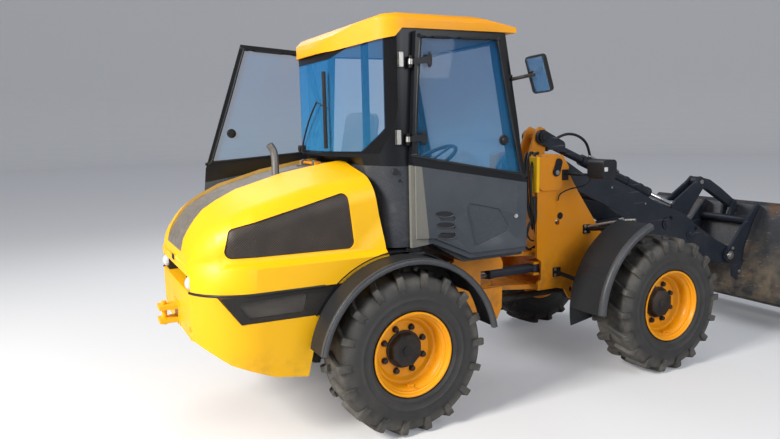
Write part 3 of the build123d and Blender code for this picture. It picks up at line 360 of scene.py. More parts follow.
def paint(name, colour, deep, roughness, dust, coat, grime_top, strip=None):
    """Machine paint: two close tints, fine orange peel, dust in patches and grime low down."""
    material, tree, shader = new_finish(name, colour, roughness, coat=coat)
    shader.inputs["Specular IOR Level"].default_value = 0.35
    tint = blend_colour(tree, noise(tree, 1.6, 0.35, 0.7), colour, deep)
    dusty = calc(tree, "MULTIPLY", noise(tree, 5.0, 0.46, 0.78, 10), dust)
    tint = blend_colour(tree, dusty, tint, DUST)
    low = step_up(tree, coordinate(tree, "Z"), grime_top, grime_top - GRIME_DEPTH)
    grime = calc(tree, "MULTIPLY", low, noise(tree, 11.0, 0.45, 0.66, 12))
    tint = blend_colour(tree, calc(tree, "MULTIPLY", grime, 0.55), tint, MUD)
    if strip:
        half, foot = strip
        inside = step_up(tree, calc(tree, "ABSOLUTE", coordinate(tree, "Y")), half + 0.001, half)
        inside = calc(tree, "MULTIPLY", inside, step_up(tree, coordinate(tree, "Z"), foot - 0.001, foot))
        grey = blend_colour(tree, noise(tree, 24.0, 0.4, 0.7, 8), *STRIP_GREYS)
        tint = blend_colour(tree, inside, tint, grey)
    set_input(tree, shader, "Base Color", tint)
    spread = calc(tree, "MULTIPLY", noise(tree, 9.0, 0.3, 0.8, 8), 0.14)
    set_input(tree, shader, "Roughness", calc(tree, "ADD", spread, roughness))
    add_bump(tree, shader, noise(tree, 160.0, 0.2, 0.8, 2), 0.04, 0.001)
    return material


HOOD_COLOURS = (0.88, 0.48, 0.001), (0.88, 0.45, 0.001)
hood_yellow = paint("hood_yellow", *HOOD_COLOURS, 0.40, 0.02, 0.05, 0.55, CROWN_STRIP)
body_yellow = paint("body_yellow", (0.80, 0.43, 0.001), (0.79, 0.40, 0.001), 0.42, 0.04, 0.03, 0.65)
# Brighter than the other yellows: painted sunlight on the tower's ear flanges.
sunlit_flange_yellow = paint("sunlit_flange_yellow", (0.95, 0.54, 0.001), (0.94, 0.50, 0.001), 0.40, 0.02, 0.05, 0.30)
roof_yellow = paint("roof_yellow", (0.82, 0.35, 0.001), (0.81, 0.32, 0.001), 0.46, 0.06, 0.05, 0.30)
frame_yellow = paint("frame_yellow", (0.74, 0.27, 0.002), (0.68, 0.22, 0.002), 0.42, 0.16, 0.04, 0.95)
rim_yellow = paint("rim_yellow", (0.82, 0.33, 0.001), (0.80, 0.30, 0.001), 0.36, 0.08, 0.06, 0.30)
print("paints", [m.name for m in (hood_yellow, body_yellow, frame_yellow, rim_yellow)])

# %% [markdown]
# The boom, hubs and posts are satin black, while mudguards and vents are moulded plastic. Black paint
# shows its age as pale scratches and brown dust, plastic as grain and grey patches. They are two
# functions, because the plastic's grain is raised and the paint's scratches are only a colour.

# %% Black and dark finishes
def dark_paint(name, colour, roughness, dust, scratch):
    """Satin black paint with long pale scratches and brown dust."""
    material, tree, shader = new_finish(name, colour, roughness, coat=0.0)
    shader.inputs["Specular IOR Level"].default_value = 0.32
    dusty = calc(tree, "MULTIPLY", noise(tree, 4.0, 0.42, 0.8, 12), dust)
    tint = blend_colour(tree, dusty, colour, (0.15, 0.125, 0.10))
    lines = noise(tree, 14.0, 0.66, 0.70, 3, (0.25, 1, 6))
    tint = blend_colour(tree, calc(tree, "MULTIPLY", lines, scratch), tint, (0.24, 0.24, 0.25))
    set_input(tree, shader, "Base Color", tint)
    spread = calc(tree, "MULTIPLY", noise(tree, 7.0, 0.3, 0.75, 10), 0.3)
    set_input(tree, shader, "Roughness", calc(tree, "ADD", spread, roughness))
    add_bump(tree, shader, noise(tree, 220.0, 0.2, 0.8, 2), 0.05, 0.001)
    return material


def grained(name, colour, faded, roughness, grain, height):
    """Moulded plastic: fading in patches and a fine leathery grain."""
    material, tree, shader = new_finish(name, colour, roughness)
    shader.inputs["Specular IOR Level"].default_value = 0.30
    tint = blend_colour(tree, noise(tree, 3.0, 0.4, 0.75, 8), colour, faded)
    specks = noise(tree, grain, 0.52, 0.62, 2)
    paler = tuple(min(1, 2.2 * c) for c in faded)
    tint = blend_colour(tree, calc(tree, "MULTIPLY", specks, 0.35), tint, paler)
    set_input(tree, shader, "Base Color", tint)
    add_bump(tree, shader, noise(tree, grain, 0.3, 0.7, 3), 0.35, height)
    return material


boom_black = dark_paint("boom_black", (0.016, 0.021, 0.032), 0.30, 0.14, 0.35)
hub_black = dark_paint("hub_black", (0.012, 0.012, 0.013), 0.45, 0.5, 0.1)
post_black = dark_paint("post_black", (0.008, 0.009, 0.011), 0.28, 0.05, 0.1)
lamp_black = dark_paint("lamp_black", (0.010, 0.011, 0.014), 0.34, 0.06, 0.05)
fender_plastic = grained("fender_plastic", (0.011, 0.012, 0.014), (0.019, 0.020, 0.022), 0.55, 260.0, 0.0006)
vent_plastic = grained("vent_plastic", (0.013, 0.012, 0.012), (0.030, 0.026, 0.022), 0.50, 300.0, 0.0005)
engine_grey = grained("engine_grey", (0.05, 0.05, 0.052), (0.09, 0.085, 0.08), 0.6, 90.0, 0.001)
hose_rubber = grained("hose_rubber", (0.010, 0.010, 0.011), (0.022, 0.021, 0.020), 0.42, 400.0, 0.0003)
print("dark finishes ready")

# %% [markdown]
# The cab's posts are glossy black while its lower panels are speckled dark grey. They are one solid
# each, so the finish changes with height: a line through two points of the panel's top edge gives
# z = a - b x, and the pixel is above or below it.

# %% Cab posts above, grey panels below
GLOSS_BLACK = (0.008, 0.009, 0.011)
PAINTED_SUNLIT_GREYS = (0.165, 0.160, 0.138), (0.42, 0.40, 0.34)


def two_part_panel(name, edge_height, slope, dark, pale, facet=None, folded=None):
    """Glossy black above z = edge_height - slope * x, speckled grey below.

    facet = (x at the ground, slope) is the line that a pale strip of painted sunlight ends at, on the
    panel's rear facet. folded turns x into folded - x, for the door that stands open.
    """
    material, tree, shader = new_finish(name, pale, 0.5)
    shader.inputs["Specular IOR Level"].default_value = 0.30
    x = calc(tree, "SUBTRACT", coordinate(tree, "X"), REAR_AXLE_X)
    if folded:
        x = calc(tree, "SUBTRACT", folded, x)
    z = coordinate(tree, "Z")
    above = calc(tree, "ADD", z, calc(tree, "MULTIPLY", x, slope))
    above = step_up(tree, above, edge_height - 0.001, edge_height + 0.001)
    grey = blend_colour(tree, noise(tree, 3.5, 0.4, 0.7, 9), dark, pale)
    specks = noise(tree, 330.0, 0.52, 0.64, 2)
    grey = blend_colour(tree, calc(tree, "MULTIPLY", specks, 0.22), grey, (0.22, 0.22, 0.22))
    # Painted sunlight: a pale speckled strip on the panel's rear facet, behind the facet line.
    if facet:
        edge = calc(tree, "ADD", x, calc(tree, "MULTIPLY", z, facet[1]))
        inside = step_up(tree, edge, facet[0] + 0.004, facet[0])
        painted_sunlight = blend_colour(tree, calc(tree, "MULTIPLY", specks, 0.5), *PAINTED_SUNLIT_GREYS)
        grey = blend_colour(tree, calc(tree, "MULTIPLY", inside, 0.85), grey, painted_sunlight)
    rubbed = calc(tree, "MULTIPLY", noise(tree, 9.0, 0.58, 0.7, 5, (0.4, 1, 1)), 0.25)
    grey = blend_colour(tree, rubbed, grey, (0.13, 0.125, 0.12))
    set_input(tree, shader, "Base Color", blend_colour(tree, above, grey, GLOSS_BLACK))
    set_input(tree, shader, "Roughness", calc(tree, "SUBTRACT", 0.56, calc(tree, "MULTIPLY", above, 0.28)))
    grain = calc(tree, "MULTIPLY", noise(tree, 300.0, 0.3, 0.7, 3), calc(tree, "SUBTRACT", 1.0, above))
    add_bump(tree, shader, grain, 0.3, 0.0006)
    return material


cab_finish = two_part_panel("cab_finish", 1.592, 0.045, (0.022, 0.026, 0.034), (0.034, 0.038, 0.046))
# Columns: edge's height at the rear axle, its slope, dark and pale grey, facet line that ends the painted
# sunlit strip
DOOR_LOOK = (1.612, 0.174, (0.038, 0.047, 0.060), (0.054, 0.062, 0.074), (0.321, 0.100))
OPEN_DOOR_FOLD = 0.164
door_right_finish = two_part_panel("door_right_finish", *DOOR_LOOK)
door_left_finish = two_part_panel("door_left_finish", *DOOR_LOOK, OPEN_DOOR_FOLD)
print("panels", cab_finish.name, door_right_finish.name, door_left_finish.name)

# %% [markdown]
# Safety glass is tinted and more mirror-like at a glance. Traced refraction would cost render time
# and dim the cab, so the pane is a blue surface whose alpha follows the angle it is seen at. The
# rear pane has a printed black edge: a mask below one height, behind one x and in a slanted corner.

# %% Glass with a printed black edge
PANE_BLUES = (0.045, 0.28, 0.56), (0.022, 0.16, 0.42)
PANE_HEIGHTS = (1.5, 2.4)
RIM_HEIGHT = 1.680
BAND_FRONT = 0.30


def pane(name, dark_line=None):
    """Tinted safety glass, clearer face on; dark_line = (x of the band, slope of the corner, its foot)."""
    material, tree, shader = new_finish(name, (0.10, 0.16, 0.18), 0.02)
    glance = tree.nodes.new("ShaderNodeLayerWeight")
    glance.inputs["Blend"].default_value = 0.30
    alpha = step_up(tree, glance.outputs["Facing"], -0.22, 1.35)
    tint = blend_colour(tree, step_up(tree, coordinate(tree, "Z"), *PANE_HEIGHTS), *PANE_BLUES)
    if dark_line:
        edge_x, slope, foot = dark_line
        x = calc(tree, "SUBTRACT", coordinate(tree, "X"), REAR_AXLE_X)
        z = coordinate(tree, "Z")
        band = step_up(tree, x, edge_x - 0.001, edge_x + 0.001)
        corner = calc(tree, "SUBTRACT", calc(tree, "MULTIPLY", x, slope), calc(tree, "SUBTRACT", z, foot))
        band = calc(tree, "MAXIMUM", band, step_up(tree, corner, 0.0, 0.003))
        rim = step_up(tree, z, RIM_HEIGHT + 0.002, RIM_HEIGHT)
        rearward = step_up(tree, x, BAND_FRONT + 0.01, BAND_FRONT)
        band = calc(tree, "MULTIPLY", calc(tree, "MAXIMUM", band, rim), rearward)
        tint = blend_colour(tree, band, tint, (0.008, 0.008, 0.009))
        alpha = calc(tree, "MAXIMUM", alpha, band)
    set_input(tree, shader, "Base Color", tint)
    set_input(tree, shader, "Alpha", alpha)
    material.surface_render_method = "DITHERED"
    return material


clear_pane = pane("clear_pane")
REAR_BAND = (-0.035, 1.45, 1.87)
rear_pane = pane("rear_pane", REAR_BAND)
print("glass ready")

# %% [markdown]
# Ram rods are chromed, bolts are zinc-plated and the lamps have ribbed plastic lenses. A metal is
# mostly its roughness, so patches of it carry the wear. The ribs are a wave in the bump, because
# ribs this fine would cost thousands of faces and would never be seen from the side.

# %% Metals and lenses
def metal(name, colour, roughness, wear):
    """Bare or plated metal with dull patches."""
    material, tree, shader = new_finish(name, colour, roughness, metallic=1.0)
    spread = calc(tree, "MULTIPLY", noise(tree, 30.0, 0.3, 0.8, 6), wear)
    set_input(tree, shader, "Roughness", calc(tree, "ADD", spread, roughness))
    dull = tuple(0.55 * c for c in colour)
    set_input(tree, shader, "Base Color", blend_colour(tree, noise(tree, 12.0, 0.55, 0.8, 6), colour, dull))
    return material


def waves(tree, direction, scale):
    """Even bands across one Object axis, from 0 to 1."""
    node = tree.nodes.new("ShaderNodeTexWave")
    node.bands_direction = direction
    node.inputs["Scale"].default_value = scale
    tree.links.new(object_place(tree), node.inputs["Vector"])
    return node.outputs["Fac"]


chrome = metal("chrome", (0.78, 0.79, 0.80), 0.06, 0.10)
steel = metal("steel", (0.42, 0.41, 0.39), 0.32, 0.30)


def lens(name, colour):
    """Ribbed lamp plastic."""
    material, tree, shader = new_finish(name, colour, 0.12, coat=0.6)
    ribs = waves(tree, "Z", 90.0)
    add_bump(tree, shader, ribs, 0.25, 0.001)
    dim = tuple(0.8 * c for c in colour)
    set_input(tree, shader, "Base Color", blend_colour(tree, ribs, colour, dim))
    return material


white_lens = lens("white_lens", (0.62, 0.64, 0.66))
red_lens = lens("red_lens", (0.45, 0.012, 0.008))
print("metals and lenses ready")

# %% [markdown]
# Tyre rubber is black with grey earth dried on the tread, and only the radius tells the tread from the
# cheek. Each point of a tyre stores how dusty it is, so that one finish serves four wheels. Reading
# the radius from the place instead would need a finish for each wheel's own centre.

# %% Tyre rubber
def tyre_rubber():
    """Black rubber whose tread is dusty; the tyre's own 'dust' attribute says where."""
    material, tree, shader = new_finish("tyre_rubber", (0.020, 0.020, 0.021), 0.62)
    attribute = tree.nodes.new("ShaderNodeAttribute")
    attribute.attribute_name = "dust"
    patches = noise(tree, 9.0, 0.30, 0.70, 12)
    dusty = calc(tree, "MULTIPLY", attribute.outputs["Fac"], patches)
    tint = blend_colour(tree, noise(tree, 4.0, 0.4, 0.7), (0.017, 0.017, 0.018), (0.034, 0.033, 0.032))
    tint = blend_colour(tree, calc(tree, "MULTIPLY", dusty, 0.62), tint, (0.17, 0.155, 0.13))
    set_input(tree, shader, "Base Color", tint)
    add_bump(tree, shader, noise(tree, 140.0, 0.3, 0.7, 5), 0.22, 0.001)
    return material


rubber = tyre_rubber()
print("rubber", rubber.name)

# %% [markdown]
# The bucket scrapes the ground every day: its blue-black paint is rubbed to brown steel and earth has
# dried on its lower half. Four layers of noise do this, from broad rust down to thin scratches, each
# blended over the one before in the order in which the wear happened.

# %% Bucket steel
def worn_steel():
    """The bucket: blue-black paint rubbed to brown steel, earth dried on its lower parts."""
    material, tree, shader = new_finish("worn_steel", (0.03, 0.033, 0.04), 0.5, coat=0.05)
    base = blend_colour(tree, noise(tree, 3.0, 0.42, 0.62, 12), (0.018, 0.021, 0.028), (0.050, 0.047, 0.045))
    rust = noise(tree, 6.0, 0.56, 0.68, 14)
    base = blend_colour(tree, calc(tree, "MULTIPLY", rust, 0.7), base, (0.13, 0.055, 0.022))
    low = step_up(tree, coordinate(tree, "Z"), 0.75, 0.25)
    earth = calc(tree, "MULTIPLY", low, noise(tree, 8.0, 0.40, 0.60, 14))
    base = blend_colour(tree, calc(tree, "MULTIPLY", earth, 0.75), base, (0.22, 0.17, 0.11))
    scratches = noise(tree, 10.0, 0.64, 0.68, 4, (0.3, 1, 8))
    base = blend_colour(tree, calc(tree, "MULTIPLY", scratches, 0.45), base, (0.30, 0.29, 0.28))
    set_input(tree, shader, "Base Color", base)
    set_input(tree, shader, "Roughness", calc(tree, "ADD", calc(tree, "MULTIPLY", rust, 0.3), 0.38))
    add_bump(tree, shader, noise(tree, 45.0, 0.3, 0.7, 10), 0.35, 0.002)
    return material


bucket_steel = worn_steel()
print("bucket finish", bucket_steel.name)

# %% [markdown]
# The seat's cloth is woven and the grilles are punched sheet. Both are patterns too fine to model:
# the weave is two crossed waves, and the holes are where a product of two sines is large, which
# gives rows that are set off by half a pitch as on real punched sheet.

# %% Seat cloth and punched sheet
def seat_cloth():
    """Woven cloth: two crossed waves a couple of millimetres apart, with a soft sheen."""
    material, tree, shader = new_finish("seat_cloth", (0.21, 0.20, 0.18), 0.85)
    shader.inputs["Sheen Weight"].default_value = 0.3
    weave = calc(tree, "MULTIPLY", waves(tree, "X", 160.0), waves(tree, "Z", 160.0))
    set_input(tree, shader, "Base Color", blend_colour(tree, weave, (0.17, 0.165, 0.15), (0.27, 0.26, 0.24)))
    add_bump(tree, shader, weave, 0.3, 0.0008)
    return material


cloth = seat_cloth()


def perforated(name, colour, hole, pitch):
    """Punched sheet: dark where |sin(x + z) * sin(x - z)| is high, with x and z scaled by pi / pitch."""
    material, tree, shader = new_finish(name, colour, 0.5)
    x, z = coordinate(tree, "X"), coordinate(tree, "Z")
    slants = [calc(tree, "MULTIPLY", calc(tree, way, x, z), math.pi / pitch) for way in ("ADD", "SUBTRACT")]
    product = calc(tree, "MULTIPLY", *(calc(tree, "SINE", slant) for slant in slants))
    holes = step_up(tree, calc(tree, "ABSOLUTE", product), 0.30, 0.42)
    tint = blend_colour(tree, noise(tree, 6.0, 0.4, 0.75, 9), colour, tuple(2.0 * c for c in colour))
    set_input(tree, shader, "Base Color", blend_colour(tree, holes, tint, hole))
    add_bump(tree, shader, calc(tree, "SUBTRACT", 1.0, holes), 0.6, 0.002)
    return material


grille_mesh = perforated("grille_mesh", (0.040, 0.028, 0.020), (0.004, 0.003, 0.003), 0.014)
side_mesh = perforated("side_mesh", (0.075, 0.066, 0.056), (0.010, 0.008, 0.007), 0.008)
print("finishes", len(bpy.data.materials))

# %% [markdown]
# Most solids of the frame already have the right shape, with edges sharper than real ones. Building
# them again would only add errors, so each gets a merged copy with its finish and with edges a few
# millimetres wide. One table says which finish and which bevel each solid takes.

# %% Dress the solids
# Columns: solid, slot in the record, finish, bevel in metres
SOLIDS = (
    ("rear_chassis", "frame_yellow", frame_yellow, 0.003),
    ("rear_axle", "hub", hub_black, 0.0),
    ("engine_block", "engine", engine_grey, 0.006),
    ("counterweight", "yellow", body_yellow, 0.012),
    ("side_panels", "dark_plastic", vent_plastic, 0.003),
    ("tow_hitch", "yellow", body_yellow, 0.003),
    ("rear_fenders", "dark_plastic", fender_plastic, 0.004),
    ("cab_frame", "cab_grey", cab_finish, 0.003),
    ("cab_roof", "yellow", roof_yellow, 0.0),
    ("cab_console", "dark_plastic", fender_plastic, 0.010),
    ("seat_base", "dark_plastic", fender_plastic, 0.012),
    ("steering_wheel", "dark_plastic", vent_plastic, 0.0),
    ("front_frame", "frame_yellow", frame_yellow, 0.003),
    ("front_axle", "hub", hub_black, 0.0),
    ("front_fenders", "dark_plastic", fender_plastic, 0.003),
    ("headlamps", "dark_plastic", lamp_black, 0.014),
    ("mirrors", "dark_plastic", vent_plastic, 0.004),
    ("rear_lamps", "dark_plastic", vent_plastic, 0.003),
    ("boom", "black_paint", boom_black, 0.003),
    ("boom_tip_pins", "steel", steel, 0.002),
    ("quick_hitch", "black_paint", boom_black, 0.003),
    ("bucket", "bucket_steel", bucket_steel, 0.002),
    ("bellcrank_pin", "steel", steel, 0.002),
    ("bellcrank", "black_paint", boom_black, 0.003),
    ("link_pin", "steel", steel, 0.002),
    ("tilt_link", "black_paint", boom_black, 0.003),
    ("tilt_ram_barrel", "black_paint", boom_black, 0.002),
    ("tilt_ram_rod", "chrome", chrome, 0.0),
    ("lift_ram_barrels", "black_paint", boom_black, 0.002),
    ("lift_ram_rods", "chrome", chrome, 0.0),
    ("steering_ram_barrel", "black_paint", boom_black, 0.002),
    ("steering_ram_rod", "chrome", chrome, 0.0),
    ("door_left", "cab_grey", door_left_finish, 0.003),
    ("door_right", "cab_grey", door_right_finish, 0.003),
    ("hood", "yellow", hood_yellow, 0.0),
    ("hood_grilles", "dark_plastic", grille_mesh, 0.0),
)
for node, slot, finish, bevel in SOLIDS:
    dressed(node, finish, bevel)
PANES = {"cab_glass": rear_pane, "door_left_glass": clear_pane, "door_right_glass": clear_pane}
for node, finish in PANES.items():
    mesh_materials = frame["nodes"][node].data.materials
    mesh_materials.clear()
    mesh_materials.append(finish)
print("dressed", len(SOLIDS), "solids")

# %% [markdown]
# A lug tyre is a turned carcass with slanted blocks on it. The carcass is a profile of (radius, y)
# pairs, fine enough for the moulded rings on its cheek. One lug is a small grid: along it run rows
# from the foot on the cheek, over the shoulder and down to the middle of the tread, and across it
# run six points of a rounded cross-section. Copies are turned by whole-array rotation.

# %% Tyres
LUGS = 18
LUG_RADIUS = 480
# Columns: radius, sideways place, both in millimetres, from the bead to the middle of the tread
CHEEK = (
    (262, 128), (262, 137), (268, 145), (276, 150), (284, 151.5), (286, 154), (292, 154), (295, 152.5),
    (312, 155.5), (330, 158), (332, 159.8), (338, 159.8), (341, 158), (362, 159), (384, 158.5), (400, 155),
    (416, 150), (434, 145), (450, 140), (461, 132), (467, 118), (468, 80), (469, 40), (469, 0),
)
# Columns: sideways place, sole radius, crown radius, shift round the tread, half width
LUG_ROWS = np.array([
    (152.0, 392, 402, -8, 15),
    (159.5, 392, 412, -8, 17),
    (159.8, 396, 452, -8, 19),
    (159.5, 400, 472, -7, 20),
    (155.0, 420, 484, -7, 20),
    (143.0, 440, 489, -6, 20),
    (118.0, 455, 491.5, 0, 20),
    (90.0, 460, 493, 10, 20),
    (55.0, 460, 494, 24, 20.5),
    (22.0, 460, 494.6, 38, 21),
    (9.0, 460, 494.6, 43, 21),
    (6.0, 460, 492.0, 44, 19),
])


def one_lug():
    """Rows along the lug by six points across, at angle (shift + t) / LUG_RADIUS and the row's radius."""
    y, sole, crown, shift, half = (LUG_ROWS[:, i : i + 1] for i in range(5))
    t = np.hstack([-half - 4, -half - 1, -half + 3, half - 3, half + 1, half + 4])
    r = np.hstack([sole, crown - 4, crown, crown, crown - 4, sole])
    a = (shift + t) / LUG_RADIUS
    points = np.stack([r * np.sin(a), y + 0 * r, r * np.cos(a)], -1)
    faces = grid_faces(len(LUG_ROWS), 6)
    last = (len(LUG_ROWS) - 1) * 6
    faces += [list(range(6)), list(range(last, last + 6))]
    return points.reshape(-1, 3) / 1000, faces


def about_y(points, angles):
    """Copies of the points turned about Y: x' = x cos a + z sin a, z' = z cos a - x sin a."""
    c, s = np.cos(angles)[:, None], np.sin(angles)[:, None]
    x, y, z = points[:, 0], points[:, 1], points[:, 2]
    return np.stack([x * c + z * s, y + 0 * c * x, z * c - x * s], -1)


def tyre_surface():
    """The carcass and both rows of lugs, as one surface round the wheel's own centre."""
    half = np.array(CHEEK) / 1000
    whole = np.vstack([half, half[-2::-1] * (1, -1)])
    inside = np.array([(0.235, -0.125), (0.235, 0.125)])
    carcass = lathe(np.vstack([whole, inside, whole[:1]]), 144)
    points, faces = one_lug()
    steps = np.arange(LUGS) * 2 * np.pi / LUGS
    left = about_y(points, steps)
    right = about_y(points * (1, -1, 1), steps + np.pi / LUGS)
    lugs = [(copy, faces) for copy in (*left, *right)]
    return joined([carcass, *lugs])


print("lug rows", len(LUG_ROWS), "lugs", 2 * LUGS, "a tyre")

# %% [markdown]
# The four wheels share one tyre surface, moved to each axle's end. The tyres are the same size front
# and rear on such a loader. Dust is worked out from each point's distance to its axle, as one array.

# %% Four tyres on their axles
WHEELBASE, TRACK_HALF, AXLE_HEIGHT = 2.122, 0.725, 0.495
DUST_FROM, DUST_WIDTH, CROWN = 0.385, 0.05, 0.489
CORNERS = [
    (f"{axle}_{side}", np.array([x, sign * TRACK_HALF, AXLE_HEIGHT]), sign)
    for axle, x in (("front", WHEELBASE), ("rear", 0.0))
    for side, sign in (("right", -1), ("left", 1))
]


def dust_tyre(tyre, centre):
    """Dust is (radius - DUST_FROM) / DUST_WIDTH, between 0.12 and 1; the lugs' crowns keep 0.7 of it."""
    spot = np.empty(len(tyre.data.vertices) * 3)
    tyre.data.vertices.foreach_get("co", spot)
    spot = spot.reshape(-1, 3) - centre
    far = np.hypot(spot[:, 0], spot[:, 2])
    amount = np.clip((far - DUST_FROM) / DUST_WIDTH, 0.12, 1.0) * np.where(far > CROWN, 0.7, 1.0)
    dust = tyre.data.attributes.new("dust", "FLOAT", "POINT")
    dust.data.foreach_set("value", amount.astype(np.float32))


tyre_points, tyre_faces = tyre_surface()
for corner, centre, sign in CORNERS:
    part = (tyre_points + centre, tyre_faces)
    tyre = piece(f"tread_{corner}", part, f"wheel_{corner}", rubber, 40, replaces=[f"tyre_{corner}"])
    dust_tyre(tyre, centre + (REAR_AXLE_X, 0, 0))
print("tyre faces", len(tyre_faces), "x", len(CORNERS))

# %% [markdown]
# The rim is pressed steel: a rolled outer flange, a slope with two steps, then a flat disc that the
# hub is bolted to. It is one turned profile, closed on itself, with a point or two at each fold: a
# bevel over the whole rim would round the disc's flat face as well.

# %% Rims, hubs and wheel nuts
# Columns: radius, sideways place, both in millimetres; the rim's profile goes once round its section
RIM_PROFILE = (
    (254, 149), (257, 146), (257, 140), (252, 136), (240, 131), (231, 126), (231, -126), (240, -131),
    (257, -137), (257, -147), (240, -148), (219, -126), (219, -6), (74, -6), (74, 8), (160, 8), (172, 9),
    (179, 15), (186, 34), (192, 40), (204, 43), (206, 47), (207, 70), (211, 88), (216, 98), (219, 103),
    (228, 108), (234, 118), (240, 138), (243, 146), (248, 149), (254, 149),
)
COVER = (
    (0, -70), (115, -70), (150, -6.5), (74, -6.5), (74, 8), (104, 9), (110, 12), (108, 30), (103, 56),
    (96, 62), (0, 62),
)
RING = ((112, 8.4), (116, 10), (116, 20), (111, 22), (100, 22))
BOSS = ((0.1, 61), (30, 61), (30, 65), (27, 67), (0.1, 67))
NUT = ((0.1, 8.3), (20, 8.3), (20, 12), (17, 14), (17, 27), (14, 33), (0.1, 34))
NUTS, NUT_CIRCLE = 8, 0.140


def turned_mm(profile, segments):
    """A lathe of a profile given in millimetres."""
    return lathe(np.array(profile) / 1000, segments)


def hub_parts():
    """The octagonal cover with its chamfer, a drain plug, and eight round wheel nuts on the disc."""
    points, faces = turned_mm(COVER, 8)
    cover = (about_y(points, np.array([math.pi / 8]))[0], faces)
    points, faces = turned_mm(NUT, 20)
    turns = (np.arange(NUTS) + 0.5) * 2 * np.pi / NUTS
    nuts = [(copy, faces) for copy in about_y(points + (NUT_CIRCLE, 0, 0), turns)]
    return joined([cover, turned_mm(RING, 48), turned_mm(BOSS, 32), *nuts])


def at_corner(part, centre, sign):
    """Turns a wheel's part half round for the right side and moves it to its axle."""
    points, faces = part
    return points * (sign, sign, 1) + centre, faces


stem = tube([(0, 0.09, -0.205), (0, 0.125, -0.196)], 0.005)
valve = joined([brick(-0.02, 0.02, 0.075, 0.10, -0.222, -0.198), stem])
# Columns: name, part, slot, finish, angle, bevel, solid that it stands for
WHEEL_PARTS = (
    ("dish_{}", turned_mm(RIM_PROFILE, 128), "rim", rim_yellow, 30, 0.0, ["rim_{}"]),
    ("valve_{}", valve, "rim", rim_yellow, 40, 0.003, []),
    ("hub_{}_cover", hub_parts(), "hub", hub_black, 30, 0.0015, ["hub_{}"]),
)
for corner, centre, sign in CORNERS:
    for name, part, slot, finish, angle, bevel, solids in WHEEL_PARTS:
        part = at_corner(part, centre, sign)
        solids = [solid.format(corner) for solid in solids]
        piece(name.format(corner), part, f"wheel_{corner}", finish, angle, bevel, solids)
print("wheel parts", len(WHEEL_PARTS), "x", len(CORNERS))

# %% [markdown]
# The seat is foam under cloth. A cloth simulation would need a pattern and time; a crowned closed form
# has the same look: a rounded block whose sides pull in between the corners, with sewn channels
# across it, made by a formula on a grid. It is marked as padded, so that it may be soft later.

# %% Seat
def signed_power(value, exponent):
    """value to a power with its sign kept, as a superellipse needs."""
    return np.sign(value) * np.abs(value) ** exponent


def cushion(centre, size, crown, channels, lean=0.0):
    """A superellipsoid block: |x|^p + |y|^p + |z|^p = 1, crowned on top and pinched at its channels."""
    u = np.linspace(-np.pi / 2, np.pi / 2, 41)[:, None]
    v = np.linspace(-np.pi, np.pi, 96, endpoint=False)[None, :]
    x = signed_power(np.cos(u), 0.28) * signed_power(np.cos(v), 0.28)
    y = signed_power(np.cos(u), 0.28) * signed_power(np.sin(v), 0.28)
    z = signed_power(np.sin(u), 0.34) + 0 * v
    puff = (1 - x**2) * (1 - y**2) * crown
    pinch = sum(np.exp(-((x - c) / 0.05) ** 2) for c in channels) * 0.10
    z = z * (1 + puff - pinch * (z > 0))
    waist = 1 - 0.05 * (1 - z**2)
    p = np.stack([x * waist, y * waist, z / (1 + crown)], -1).reshape(-1, 3) * np.array(size) / 2
    c, s = math.cos(lean), math.sin(lean)
    p = np.stack([p[:, 0] * c + p[:, 2] * s, p[:, 1], p[:, 2] * c - p[:, 0] * s], -1)
    return p + centre, grid_faces(41, 96, close_columns=True)


seat_pad = cushion((0.29, 0, 1.297), (0.45, 0.47, 0.10), 0.18, (-0.35, 0.25))
seat_back = cushion((0.058, 0, 1.655), (0.56, 0.44, 0.10), 0.18, (-0.4, 0.1, 0.55), math.radians(-80.5))
cushions = joined([seat_pad, seat_back])
seat = piece("seat_cushions", cushions, "rear_frame", cloth, 60, replaces=["seat"])
print("seat ready")

# %% [markdown]
# Bolts, pin caps and grease nipples catch the eye on a working machine. All of them are round, so
# each is a short profile turned about its axis, and one table sets them down: a new bolt costs one
# row. The places were read from the photograph on the face that each bolt sits on.

# %% Bolts, caps and other turned hardware
# Columns: radius, height over the face, in metres, from the top's middle outwards and down
BOLT = (
    (0.0, 0.011), (0.0075, 0.011), (0.0090, 0.0085), (0.0090, 0.0040), (0.0150, 0.0036), (0.0155, 0.0),
    (0.0, 0.0),
)
PIN_CAP = (
    (0.0, 0.016), (0.026, 0.016), (0.031, 0.012), (0.032, 0.006), (0.047, 0.005), (0.049, 0.0), (0.0, 0.0),
)
PLUG = ((0.0, 0.006), (0.017, 0.006), (0.020, 0.003), (0.020, 0.0), (0.0, 0.0))
OUT, INWARD = (0, -1, 0), (0, 1, 0)


def turned_at(profile, place, axis, scale=1.0, segments=20):
    """A (radius, height) profile turned about an axis n from place p: p + h n + r (u cos a + v sin a)."""
    profile = np.array(profile) * scale
    n = np.asarray(axis, float) / np.linalg.norm(axis)
    u = np.cross(n, np.eye(3)[np.argmin(np.abs(n))])
    u /= np.linalg.norm(u)
    v = np.cross(n, u)
    a = np.arange(segments) * 2 * np.pi / segments
    ring = np.cos(a)[:, None] * u + np.sin(a)[:, None] * v
    points = np.asarray(place) + profile[:, 1, None, None] * n + profile[:, 0, None, None] * ring[None]
    return points.reshape(-1, 3), grid_faces(len(profile), segments, close_columns=True)


def row_of(profile, places, axis, scale, segments):
    """The same turned profile at several places, on both sides of the machine."""
    return both_sides(joined([turned_at(profile, p, axis, scale, segments) for p in places]))


